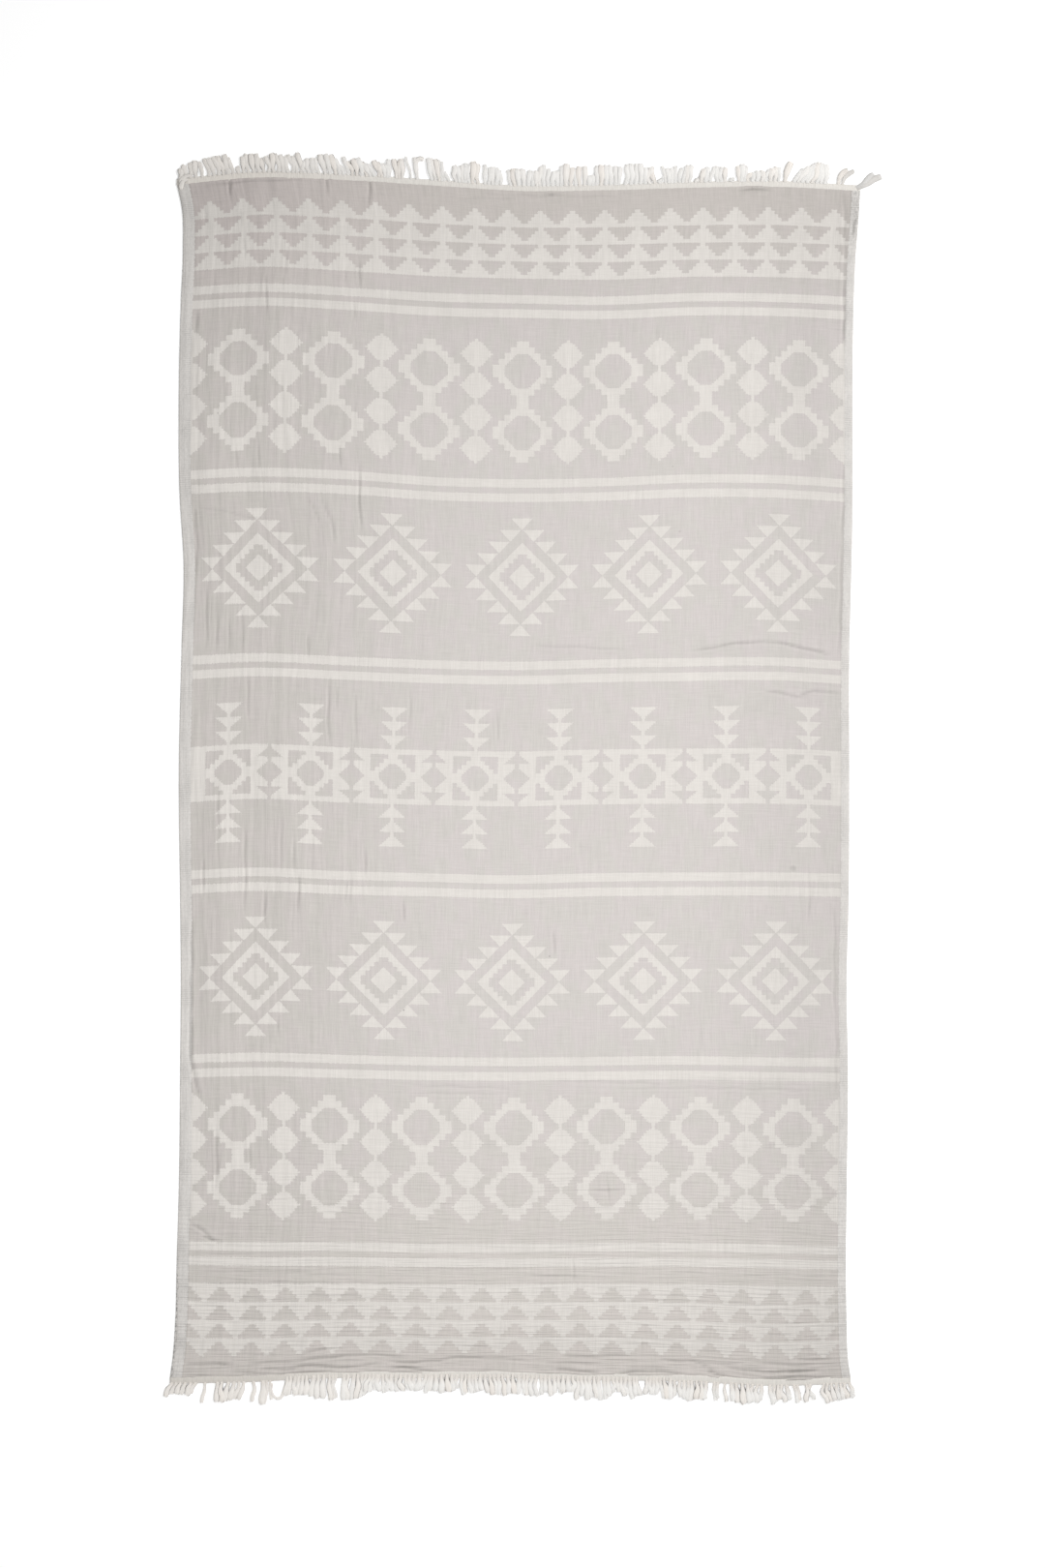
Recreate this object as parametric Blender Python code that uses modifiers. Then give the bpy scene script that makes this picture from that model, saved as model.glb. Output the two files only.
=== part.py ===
"""Hammam towel: a flat two-tone woven cloth with a short cut fringe at each end, laid out flat.

X runs across the cloth, Y along it towards the far fringe and Z up. The underside lies on z = 0.
A place on the cloth is given by two flat sizes, as if it were smoothed out: across (from its
middle line, right is +) and along (from its middle, far is +). plan() says where that place lies.
"""

import math
from collections import namedtuple

import bmesh
import bpy
import numpy as np

# Driving sizes, in metres.
CLOTH_WIDTH = 0.970  # over both selvedges
CLOTH_LENGTH = 1.726  # from heading to heading
CLOTH_THICKNESS = 0.0015
HEADING_DEPTH = 0.008  # the closed strip of unwoven warp that holds the fringe
HEADING_GAP = 0.0003  # parts the heading from the cloth's end
LOCK_PITCH = 0.0072
LOCK_ROOT_WIDTH = 0.0044
LOCK_TIP_WIDTH = 0.0030

# How finely the cloth is divided.
CLOTH_COLUMNS = 26
CLOTH_ROWS = 46

CLOTH_COLOUR = (0.592, 0.550, 0.518, 1.0)  # warm light grey, mixed with the cream of its pattern
FRINGE_COLOUR = (0.791, 0.768, 0.730, 1.0)  # cream
CLOTH_ROUGHNESS = 0.92
FRINGE_ROUGHNESS = 0.88

# The tables below are in millimetres.
MM = 0.001

# Where both selvedges lie, and how far the cloth's middle line strays sideways, at places along it.
EdgeRow = namedtuple("EdgeRow", "along left right middle")
EDGE_ROWS = (
    EdgeRow(-863, -499, 486, 2),
    EdgeRow(-835, -495, 482, 2),
    EdgeRow(-780, -491, 480, 2),
    EdgeRow(-700, -489, 479, 1),
    EdgeRow(-600, -486, 480, -1),
    EdgeRow(-420, -484, 482, -3),
    EdgeRow(-300, -483, 480, -5),
    EdgeRow(-180, -484, 483, -3),
    EdgeRow(0, -486, 484, 0),
    EdgeRow(180, -482, 484, 2),
    EdgeRow(300, -479, 487, 4),
    EdgeRow(410, -485, 489, 5),
    EdgeRow(540, -486, 489, 6),
    EdgeRow(680, -483, 490, 3),
    EdgeRow(760, -480, 493, 1),
    EdgeRow(829, -482, 498, 0),
    EdgeRow(863, -489, 500, 0),
)

# How far the cross threads bow away from straight, towards the far fringe, at places along the
# cloth. The columns are the places across it in BOW_STATIONS.
BOW_STATIONS = (-485, -375, -250, -125, 0, 125, 250, 375, 485)
BowRow = namedtuple("BowRow", "along left l3 l2 l1 middle r1 r2 r3 right")
BOW_ROWS = (
    BowRow(-863, -5, -3, 3, 3, 3, 0, -2, -8, -5),
    BowRow(-688, 3, 1, 0, -2, -2, -1, 1, -1, -4),
    BowRow(-421, 2, 7, 4, 1, 0, 2, 3, 1, -1),
    BowRow(0, 2, 8, 3, 1, -2, 0, 1, 2, -2),
    BowRow(421, 5, 10, 7, 0, -5, -4, 1, 2, -4),
    BowRow(688, 2, 11, 6, -3, -6, -8, -4, -4, -8),
    BowRow(863, -4, 6, 3, -5, -13, -12, -8, -7, -13),
)

# Low swells where the cloth doesn't quite touch what it lies on. Each rises from nothing at its
# half sizes to its height at its middle.
Swell = namedtuple("Swell", "across along half_across half_along height")
SWELLS = (
    Swell(-430, 430, 48, 300, 2.4),
    Swell(-352, 620, 44, 190, 1.6),
    Swell(-424, -240, 46, 330, 3.0),
    Swell(-330, -90, 48, 220, 1.6),
    Swell(98, 188, 110, 46, 1.6),
    Swell(352, 184, 130, 48, 2.2),
    Swell(350, 122, 90, 44, 1.2),
    Swell(20, -796, 360, 50, 2.0),
    Swell(330, -700, 140, 46, 1.4),
    Swell(-250, -742, 150, 46, 1.4),
    Swell(40, 802, 230, 48, 1.8),
    Swell(434, -400, 44, 260, 2.0),
    Swell(438, 560, 42, 230, 2.2),
    Swell(-180, 330, 46, 150, 1.2),
    Swell(170, -470, 150, 46, 1.0),
)

# The fringe lies in tufts of like locks. A row gives the first and last root along X, and the
# reach past the heading and the sideways lean of the first and last tip.
Tuft = namedtuple("Tuft", "first last reach_first reach_last lean_first lean_last")
FAR_TUFTS = (
    Tuft(-481, -452, 14, 27, -1, -10),
    Tuft(-445, -411, 29, 27, -12, -9),
    Tuft(-403, -396, 10, 12, -6, -5),
    Tuft(-389, -361, 27, 22, -4, -10),
    Tuft(-354, -312, 27, 28, -3, -7),
    Tuft(-305, -262, 18, 31, -6, -8),
    Tuft(-254, -210, 22, 24, -6, -5),
    Tuft(-203, -157, 20, 32, -5, -7),
    Tuft(-147, -97, 22, 30, -8, -12),
    Tuft(-88, -52, 22, 29, -2, -3),
    Tuft(-44, -20, 22, 25, -1, 0),
    Tuft(-12, 36, 24, 22, -3, 0),
    Tuft(44, 52, 30, 24, 0, 0),
    Tuft(60, 100, 24, 29, 0, 4),
    Tuft(113, 153, 20, 27, 2, -1),
    Tuft(161, 206, 28, 23, 5, -7),
    Tuft(216, 250, 21, 25, -4, 4),
    Tuft(268, 306, 20, 22, 6, 0),
    Tuft(321, 335, 22, 26, -2, 0),
    Tuft(343, 385, 12, 22, 0, 2),
    Tuft(393, 400, 28, 27, 8, 6),
    Tuft(411, 452, 17, 27, 11, 3),
    Tuft(465, 473, 16, 15, 14, 15),
    Tuft(490, 490, 15, 15, 41, 41),
)
NEAR_TUFTS = (
    Tuft(-493, -461, 21, 14, -13, -14),
    Tuft(-448, -448, 28, 28, -5, -5),
    Tuft(-431, -396, 28, 25, 0, -6),
    Tuft(-379, -379, 28, 28, -3, -3),
    Tuft(-370, -352, 30, 23, 1, 1),
    Tuft(-335, -307, 22, 22, -8, -4),
    Tuft(-299, -258, 27, 31, -3, -6),
    Tuft(-250, -228, 33, 31, 0, -4),
    Tuft(-220, -141, 22, 22, -6, -4),
    Tuft(-133, -87, 22, 20, -4, -3),
    Tuft(-78, -64, 24, 21, 1, 3),
    Tuft(-56, -42, 19, 16, 2, 0),
    Tuft(-34, 38, 27, 27, 0, 0),
    Tuft(46, 80, 22, 19, 0, 0),
    Tuft(88, 134, 28, 28, 1, 0),
    Tuft(142, 150, 20, 20, 0, 0),
    Tuft(158, 180, 29, 27, 0, 1),
    Tuft(188, 206, 22, 22, 0, -1),
    Tuft(214, 230, 29, 27, 0, -3),
    Tuft(241, 279, 30, 25, 1, -1),
    Tuft(287, 295, 25, 19, 0, -1),
    Tuft(305, 357, 28, 24, 0, -1),
    Tuft(367, 412, 28, 28, 4, 6),
    Tuft(420, 430, 26, 24, 2, 5),
    Tuft(445, 467, 28, 24, 7, 6),
    Tuft(475, 482, 22, 21, 6, 6),
)

COLLECTION_NAME = "hammam_towel"


def clear_scene():
    for old in list(bpy.data.objects):
        bpy.data.objects.remove(old, do_unlink=True)


def smooth_at(place, knots, values):
    """A smooth curve through values at rising knots, read at each place and held past both ends."""
    place = np.clip(place, knots[0], knots[-1])
    slopes = np.gradient(values, knots)
    i = np.clip(np.searchsorted(knots, place) - 1, 0, len(knots) - 2)
    span = knots[i + 1] - knots[i]
    t = (place - knots[i]) / span
    return (
        (1 + 2 * t) * (1 - t) ** 2 * values[i]
        + t * (1 - t) ** 2 * span * slopes[i]
        + t * t * (3 - 2 * t) * values[i + 1]
        + t * t * (t - 1) * span * slopes[i + 1]
    )


def column(rows, name):
    return np.array([getattr(row, name) for row in rows], float) * MM


def bow(across, along):
    """How far a place lies from its straight cross thread."""
    stations = np.array(BOW_STATIONS) * MM
    lines = np.array([row[1:] for row in BOW_ROWS]) * MM
    read = np.array([smooth_at(across, stations, line) for line in lines])
    return smooth_at(along, column(BOW_ROWS, "along"), read)


def plan(across, along):
    """Where one place on the flat cloth lies, seen from above."""
    knots = column(EDGE_ROWS, "along")
    left = smooth_at(along, knots, column(EDGE_ROWS, "left"))
    right = smooth_at(along, knots, column(EDGE_ROWS, "right"))
    middle = smooth_at(along, knots, column(EDGE_ROWS, "middle"))
    share = across / CLOTH_WIDTH + 0.5
    x = left + share * (right - left) + middle * 4 * share * (1 - share)
    return x, along + bow(across, along)


def lift(across, along):
    """How high the underside rises off the surface at a place."""
    height = 0.0
    for swell in SWELLS:
        a = (across / MM - swell.across) / swell.half_across
        b = (along / MM - swell.along) / swell.half_along
        inside = max(1 - a * a - b * b, 0.0)
        height += swell.height * MM * inside**2
    return height


def new_object(name, bm, colour, roughness):
    """A named object from an open surface that faces up, thickened upwards, with its own material."""
    bmesh.ops.recalc_face_normals(bm, faces=bm.faces)
    if sum(face.normal.z for face in bm.faces) < 0:
        bmesh.ops.reverse_faces(bm, faces=bm.faces)
    mesh = bpy.data.meshes.new(name)
    bm.to_mesh(mesh)
    bm.free()
    made = bpy.data.objects.new(name, mesh)
    bpy.data.collections[COLLECTION_NAME].objects.link(made)
    thicken = made.modifiers.new("thickness", "SOLIDIFY")
    thicken.thickness = CLOTH_THICKNESS
    thicken.offset = 1.0
    material = bpy.data.materials.new(name)
    material.use_nodes = True
    shader = material.node_tree.nodes["Principled BSDF"]
    shader.inputs["Base Color"].default_value = colour
    shader.inputs["Roughness"].default_value = roughness
    shader.inputs["Metallic"].default_value = 0.0
    mesh.materials.append(material)
    return made


def make_cloth():
    """The woven cloth: an even grid laid by plan() and lift()."""
    bm = bmesh.new()
    bmesh.ops.create_grid(bm, x_segments=CLOTH_COLUMNS, y_segments=CLOTH_ROWS, size=0.5)
    for vert in bm.verts:
        across = vert.co.x * CLOTH_WIDTH
        along = vert.co.y * CLOTH_LENGTH
        x, y = plan(across, along)
        vert.co = (x, y, lift(across, along))
    return new_object("cloth", bm, CLOTH_COLOUR, CLOTH_ROUGHNESS)


def cloth_end(side):
    """The X and Y of the cloth's end edge at each grid column. side is 1 at the far end, -1 near."""
    across = np.linspace(-CLOTH_WIDTH / 2, CLOTH_WIDTH / 2, CLOTH_COLUMNS + 1)
    points = [plan(place, side * CLOTH_LENGTH / 2) for place in across]
    return np.array(points).T


def locks_of(tufts):
    """The root's X, reach and lean of each lock, spread evenly over its tuft."""
    found = []
    for tuft in tufts:
        count = round((tuft.last - tuft.first) * MM / LOCK_PITCH) + 1
        for share in np.linspace(0, 1, count):
            root = tuft.first + share * (tuft.last - tuft.first)
            reach = tuft.reach_first + share * (tuft.reach_last - tuft.reach_first)
            lean = tuft.lean_first + share * (tuft.lean_last - tuft.lean_first)
            found.append((root * MM, reach * MM, lean * MM))
    return found


def tip_corner(reach, lean, hand):
    """From the middle of a lock's tip to a corner of it, square to the way the lock points."""
    length = math.hypot(reach, lean)
    half = hand * LOCK_TIP_WIDTH / 2
    return half * reach / length, -half * lean / length


def make_fringe(name, side, tufts):
    """A heading strip along one end of the cloth, with its locks drawn out of the outer edge."""
    end_x, end_y = cloth_end(side)
    locks = locks_of(tufts)
    half_root = LOCK_ROOT_WIDTH / 2
    stations = [end_x[0]]
    for root, _, _ in locks:
        stations += [root - half_root, root + half_root]
    stations.append(end_x[-1])
    cells = len(stations) - 1

    bm = bmesh.new()
    bmesh.ops.create_grid(bm, x_segments=cells, y_segments=1, size=0.5)
    outer = {}
    for vert in bm.verts:
        station = round((vert.co.x + 0.5) * cells)
        x = stations[station]
        out = HEADING_GAP
        if vert.co.y > 0:
            out += HEADING_DEPTH
            outer[station] = vert
        vert.co = (x, np.interp(x, end_x, end_y) + side * out, 0)

    for number, (root, reach, lean) in enumerate(locks):
        first = outer[2 * number + 1]
        last = outer[2 * number + 2]
        edge = bm.edges.get((first, last))
        made = bmesh.ops.extrude_edge_only(bm, edges=[edge])["geom"]
        tips = [item for item in made if isinstance(item, bmesh.types.BMVert)]
        root_y = (first.co.y + last.co.y) / 2
        for tip in tips:
            hand = math.copysign(1, tip.co.x - root)
            offset_x, offset_y = tip_corner(reach, lean, hand)
            tip.co.x = root + lean + offset_x
            tip.co.y = root_y + side * (reach + offset_y)
    return new_object(name, bm, FRINGE_COLOUR, FRINGE_ROUGHNESS)


def centre_on_origin(objects):
    """Shifts all objects alike, so that the middle of their common outline is at X = Y = 0."""
    points = np.array([vert.co.to_tuple() for each in objects for vert in each.data.vertices])
    middle = (points.min(axis=0) + points.max(axis=0)) / 2
    for each in objects:
        for vert in each.data.vertices:
            vert.co.x -= middle[0]
            vert.co.y -= middle[1]


def main():
    clear_scene()
    collection = bpy.data.collections.new(COLLECTION_NAME)
    bpy.context.scene.collection.children.link(collection)
    pieces = [
        make_cloth(),
        make_fringe("fringe_far", 1, FAR_TUFTS),
        make_fringe("fringe_near", -1, NEAR_TUFTS),
    ]
    centre_on_origin(pieces)


main()
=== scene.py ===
"""Hammam towel, laid out flat: the two-tone cloth with its woven pattern, and the cut fringe.

X runs across the cloth, Y along it towards the far fringe and Z up. A place on the cloth is given
by two flat sizes, as if it were smoothed out: across (from its middle line, right is +) and along
(from its middle, far is +). plan() says where that place lies before it is centred.
"""

import math
from collections import namedtuple

import bmesh
import bpy
import numpy as np
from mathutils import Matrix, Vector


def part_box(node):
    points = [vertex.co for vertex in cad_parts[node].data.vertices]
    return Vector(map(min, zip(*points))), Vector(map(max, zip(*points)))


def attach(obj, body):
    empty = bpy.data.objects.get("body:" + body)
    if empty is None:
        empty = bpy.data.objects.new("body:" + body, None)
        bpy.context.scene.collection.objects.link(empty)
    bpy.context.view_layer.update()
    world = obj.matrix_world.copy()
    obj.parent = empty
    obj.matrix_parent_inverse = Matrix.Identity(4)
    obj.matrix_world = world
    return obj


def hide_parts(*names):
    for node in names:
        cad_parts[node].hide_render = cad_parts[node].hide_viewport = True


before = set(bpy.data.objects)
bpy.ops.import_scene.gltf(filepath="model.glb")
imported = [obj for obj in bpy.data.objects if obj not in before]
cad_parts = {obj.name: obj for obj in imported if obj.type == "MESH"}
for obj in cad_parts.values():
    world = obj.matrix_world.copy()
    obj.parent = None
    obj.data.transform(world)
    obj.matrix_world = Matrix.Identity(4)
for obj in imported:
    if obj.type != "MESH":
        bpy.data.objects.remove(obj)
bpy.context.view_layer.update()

MM = 0.001

# ----------------------
# Sizes of the cloth and fringe, in metres.

CLOTH_WIDTH = 0.970  # over both selvedges
CLOTH_LENGTH = 1.726  # from heading to heading
CLOTH_THICKNESS = 0.0015
HEADING_DEPTH = 0.008
ROOT_OVERLAP = 0.002  # of the locks over their heading
RIM = 1.5 * MM  # the strip along the cloth's edges where it thins

CLOTH_COLUMNS, CLOTH_ROWS = 118, 210  # of the even grid that the cloth is cut from
CAD_COLUMNS, CAD_ROWS = 27, 47  # of the places that shaped the CAD cloth

# The tables and sizes below are in millimetres.


def table(kind, *rows):
    """Rows of numbers, each made a row of one kind."""
    return tuple(kind(*row) for row in rows)


# Where both selvedges lie, at places along the cloth.
EdgeRow = namedtuple("EdgeRow", "along left right")
EDGE_ROWS = table(
    EdgeRow,
    (-863, -499, 486), (-835, -495, 482), (-780, -491, 480), (-700, -489, 479), (-600, -486, 480),
    (-420, -484, 482), (-300, -483, 480), (-180, -484, 483), (0, -486, 484), (180, -482, 484),
    (300, -479, 487), (410, -485, 489), (540, -486, 489), (680, -483, 490), (760, -480, 493),
    (829, -482, 498), (863, -489, 500),
)

# How far the cross threads bow towards the far fringe, and how far the long threads sway to the
# right. Each row lies across the cloth, with its columns at the stations.
STATIONS = (-485, -375, -250, -125, 0, 125, 250, 375, 485)
DriftRow = namedtuple("DriftRow", "along left l3 l2 l1 middle r1 r2 r3 right")
BOW_ROWS = table(
    DriftRow,
    (-863, -5, -3, 3, 3, 3, 0, -2, -8, -5),
    (-790, -2, -3, -1, -2, -2, -2, -4, -8, -6),
    (-690, 2, 0, 0, -2, -2, -1, -1, -3, -6),
    (-600, 3, 2, 1, -2, -2, 0, -1, -4, -6),
    (-510, 4, 5, 2, 0, -1, 1, 0, -3, -4),
    (-421, 4, 7, 4, 1, 0, 1, 2, 0, -1),
    (-294, 4, 8, 4, 1, -1, 1, 2, 1, 0),
    (-155, 4, 9, 4, 1, -2, 1, 2, 2, 0),
    (0, 4, 10, 5, 1, -1, 2, 3, 3, -1),
    (155, 4, 9, 4, -1, -3, 0, 2, 3, -3),
    (294, 6, 10, 5, -1, -4, -2, 2, 2, -5),
    (421, 6, 11, 7, -2, -5, -3, 2, 1, -6),
    (510, 8, 14, 8, -2, -6, -5, 0, -1, -7),
    (600, 8, 14, 9, -2, -6, -6, -1, -2, -8),
    (690, 5, 11, 5, -3, -6, -8, -3, -4, -9),
    (790, 0, 8, 3, -5, -10, -10, -7, -7, -11),
    (863, -4, 6, 3, -5, -13, -12, -8, -7, -13),
)
SWAY_ROWS = table(
    DriftRow,
    (-863, 0, 0, 0, 1, 2, 2, 2, 2, 0),
    (-790, 0, 0, 1, 2, 3, 3, 2, 2, 0),
    (-690, 0, 1, 1, 2, 2, 2, 2, 2, 0),
    (-600, 0, 1, 0, 0, 0, 0, 0, 1, 0),
    (-510, 0, 0, -1, -2, -2, -2, -1, 0, 0),
    (-421, 0, -2, -2, -2, -3, -3, 0, 1, 0),
    (-294, 0, -2, -4, -4, -6, -4, -1, 2, 0),
    (-155, 0, -2, -3, -4, -4, -3, 0, 1, 0),
    (0, 0, 0, -1, -2, -2, 0, 1, 2, 0),
    (155, 0, -1, 0, 2, 2, 1, 2, 2, 0),
    (294, 0, -2, 3, 6, 4, 1, 0, 0, 0),
    (421, 0, -1, 4, 6, 6, 3, 1, 1, 0),
    (510, 0, 1, 3, 7, 7, 4, 2, 2, 0),
    (600, 0, 1, 4, 7, 7, 3, 2, 2, 0),
    (690, 0, 1, 3, 6, 6, 4, 3, 2, 0),
    (790, 0, 0, 1, 4, 4, 2, 2, 1, 0),
    (863, 0, -1, 1, 3, 2, 0, -1, -1, 0),
)

# Low swells where the cloth lies less close. Elsewhere it clears the surface by the least lift.
LEAST_LIFT = 0.2
Swell = namedtuple("Swell", "across along half_across half_along height")
SWELLS = table(
    Swell,
    (-430, 430, 48, 300, 2.4), (-352, 620, 44, 190, 1.6), (-424, -240, 46, 330, 3.0),
    (-330, -90, 48, 220, 1.6), (98, 188, 110, 46, 1.6), (352, 184, 130, 48, 2.2),
    (350, 122, 90, 44, 1.2), (20, -796, 360, 50, 2.0), (330, -700, 140, 46, 1.4),
    (-250, -742, 150, 46, 1.4), (40, 802, 230, 48, 1.8), (434, -400, 44, 260, 2.0),
    (438, 560, 42, 230, 2.2), (-180, 330, 46, 150, 1.2), (170, -470, 150, 46, 1.0),
)

# The locks of the fringe. A row gives where its root is along X, how far its tip leans sideways
# and reaches past the heading, and how wide the lock is.
Lock = namedtuple("Lock", "root lean reach width")
FAR_LOCKS = table(
    Lock,
    (-484, 1, 15, 7), (-477, 0, 20, 7), (-469, -1, 23, 7), (-461, -2, 25, 7), (-452, -6, 22, 6),
    (-442, -9, 26, 6), (-435, -10, 26, 7), (-428, -10, 27, 7), (-421, -9, 28, 7),
    (-414, -8, 29, 8), (-407, -9, 24, 6), (-399, -4, 9, 6), (-392, -2, 25, 6), (-385, -3, 28, 6),
    (-377, -5, 28, 7), (-370, -5, 28, 7), (-363, -6, 21, 6), (-356, -4, 24, 6), (-349, -4, 28, 7),
    (-342, -5, 28, 6), (-335, -6, 26, 7), (-328, -6, 24, 7), (-321, -7, 27, 6), (-315, -6, 25, 6),
    (-309, -6, 30, 6), (-304, -3, 17, 6), (-298, -3, 22, 6), (-291, -3, 23, 7), (-283, -6, 23, 6),
    (-274, -8, 29, 7), (-267, -8, 30, 7), (-259, -9, 29, 7), (-253, -9, 23, 6), (-248, -10, 16, 6),
    (-241, -8, 27, 6), (-235, -8, 21, 6), (-228, -8, 24, 7), (-221, -8, 26, 8), (-214, -10, 20, 7),
    (-209, -8, 19, 6), (-203, -8, 18, 6), (-196, -9, 24, 6), (-192, -8, 21, 6), (-188, -5, 20, 6),
    (-184, -2, 19, 6), (-181, -2, 27, 5), (-171, -4, 28, 6), (-167, -1, 26, 6), (-163, -1, 29, 6),
    (-150, -8, 33, 4), (-141, -4, 33, 6), (-120, -7, 33, 6), (-115, -7, 33, 6), (-109, -7, 32, 6),
    (-105, -6, 31, 6), (-102, -4, 29, 5), (-95, -8, 14, 5), (-85, -4, 24, 6), (-80, -3, 23, 6),
    (-75, -2, 26, 6), (-71, 0, 29, 6), (-66, 0, 28, 6), (-61, 0, 32, 7), (-53, -1, 29, 6),
    (-43, -2, 29, 5), (-38, 1, 25, 6), (-32, 1, 26, 7), (-27, 1, 25, 7), (-20, -1, 22, 6),
    (-6, -6, 22, 5), (0, -3, 25, 7), (6, -2, 25, 7), (13, -1, 25, 7), (20, 0, 23, 7),
    (26, 1, 22, 7), (32, 1, 22, 6), (36, 1, 29, 6), (42, 0, 32, 7), (48, 1, 26, 6), (55, 1, 22, 7),
    (62, 2, 22, 6), (67, 1, 30, 6), (74, 2, 33, 8), (81, 1, 27, 6), (88, 1, 24, 6), (94, 1, 28, 6),
    (101, 0, 29, 6), (108, -1, 14, 7), (113, -1, 15, 7), (118, 1, 29, 6), (125, 1, 30, 7),
    (132, 1, 30, 7), (139, 1, 29, 7), (146, 0, 28, 7), (151, -1, 27, 6), (160, 4, 30, 7),
    (168, 1, 31, 7), (175, 1, 31, 7), (182, 0, 31, 7), (189, 0, 24, 7), (195, 1, 25, 7),
    (203, -3, 18, 6), (210, -1, 5, 7), (218, -6, 25, 4), (223, -4, 22, 6), (227, -1, 22, 7),
    (232, 1, 25, 6), (238, 4, 22, 5), (243, 5, 25, 6), (248, 4, 25, 6), (253, 5, 25, 6),
    (262, 0, 4, 6), (270, 3, 20, 7), (276, 4, 22, 7), (283, 4, 23, 6), (293, 1, 23, 6),
    (299, 1, 22, 7), (304, 2, 21, 6), (315, -1, 4, 7), (325, -3, 23, 5), (328, 1, 26, 8),
    (333, 3, 23, 6), (337, 3, 12, 6), (344, 2, 13, 7), (351, 2, 15, 7), (358, 2, 15, 7),
    (363, 3, 18, 6), (370, 3, 20, 7), (376, 4, 21, 6), (382, 2, 21, 5), (391, 10, 29, 7),
    (404, 16, 19, 7), (410, 18, 22, 7), (416, 18, 25, 7), (423, 16, 28, 8), (430, 13, 29, 7),
    (437, 9, 30, 7), (443, 5, 27, 7), (449, 1, 29, 8),
)
NEAR_LOCKS = table(
    Lock,
    (-496, -10, 20, 6), (-490, -7, 16, 7), (-484, -6, 16, 7), (-477, -8, 16, 7), (-469, -7, 18, 7),
    (-462, -9, 15, 7), (-448, -5, 30, 5), (-430, -2, 29, 7), (-424, -2, 29, 7), (-414, -6, 28, 7),
    (-406, -8, 27, 7), (-399, -8, 25, 6), (-392, -9, 26, 6), (-378, -2, 30, 6), (-364, 0, 35, 9),
    (-359, -2, 33, 5), (-354, 2, 28, 4), (-329, -5, 23, 7), (-324, -3, 23, 7), (-318, -3, 23, 6),
    (-313, -3, 24, 6), (-307, -4, 24, 6), (-301, -1, 24, 8), (-291, -3, 27, 8), (-284, -2, 31, 7),
    (-276, -2, 31, 8), (-268, 2, 34, 6), (-263, 2, 32, 4), (-259, 1, 31, 4), (-247, -1, 34, 7),
    (-241, -1, 34, 7), (-233, -3, 33, 7), (-227, -3, 32, 7), (-221, -3, 30, 6), (-216, -4, 27, 6),
    (-210, -7, 23, 6), (-205, -6, 22, 7), (-200, -3, 19, 6), (-197, 2, 21, 7), (-191, 2, 23, 5),
    (-186, 2, 21, 7), (-179, 3, 20, 7), (-172, 2, 21, 7), (-165, 3, 20, 7), (-158, 5, 18, 5),
    (-153, 5, 19, 7), (-146, 4, 18, 6), (-138, -4, 20, 8), (-129, -9, 18, 6), (-124, -6, 23, 7),
    (-120, -4, 20, 7), (-114, -2, 20, 7), (-106, 1, 23, 8), (-98, 2, 21, 8), (-91, 2, 20, 7),
    (-84, 2, 16, 6), (-77, 4, 26, 6), (-71, 2, 23, 6), (-66, 3, 23, 6), (-61, 3, 23, 5),
    (-57, 4, 21, 5), (-50, 4, 19, 7), (-43, 5, 23, 6), (-36, 4, 26, 6), (-30, 3, 25, 6),
    (-24, 2, 26, 6), (-18, 4, 27, 6), (-10, 2, 24, 6), (-3, 2, 24, 7), (6, 0, 25, 7),
    (13, 0, 24, 6), (18, 0, 26, 6), (25, 1, 27, 6), (31, 2, 28, 6), (38, 2, 25, 6), (44, 0, 21, 6),
    (50, 4, 26, 6), (57, 1, 22, 6), (63, 2, 22, 6), (70, 0, 21, 7), (77, 1, 19, 7), (84, 0, 19, 7),
    (91, 0, 31, 6), (96, 1, 25, 6), (102, 3, 31, 7), (108, 2, 28, 7), (115, 2, 28, 7),
    (121, 3, 31, 7), (129, 2, 29, 7), (135, 2, 25, 7), (142, 2, 19, 6), (148, 3, 18, 6),
    (154, 4, 24, 6), (160, 3, 22, 6), (166, 5, 28, 7), (172, 4, 24, 6), (176, 6, 23, 6),
    (191, -1, 21, 6), (196, 0, 21, 6), (201, 0, 21, 5), (205, 0, 21, 6), (210, 6, 27, 5),
    (216, 5, 27, 7), (225, 0, 28, 7), (231, -2, 22, 5), (239, 2, 24, 6), (245, 2, 26, 6),
    (251, 1, 29, 7), (256, -2, 29, 7), (263, -1, 26, 7), (270, -2, 26, 7), (277, -1, 26, 7),
    (289, 1, 27, 6), (294, 0, 23, 5), (304, 2, 28, 4), (313, 3, 26, 7), (320, 3, 28, 7),
    (329, 5, 29, 8), (337, 3, 28, 7), (344, 1, 25, 6), (351, -1, 27, 6), (357, -2, 23, 6),
    (369, 4, 29, 6), (375, 3, 25, 6), (381, 2, 21, 7), (386, 4, 25, 6), (393, 5, 22, 7),
    (404, 5, 26, 6), (409, 4, 23, 4), (422, 1, 25, 6), (427, 5, 22, 7), (447, 6, 29, 5),
    (452, 6, 26, 6), (458, 5, 25, 6), (465, 5, 25, 6), (471, 5, 23, 6), (477, 5, 22, 6),
    (484, 7, 21, 6),
)

# Between these roots, the near fringe's locks start further in, close to the cloth.
DEEP_ROOTS = (-340, 230)
DEEP_ROOT_OVERLAP = 6

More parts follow.
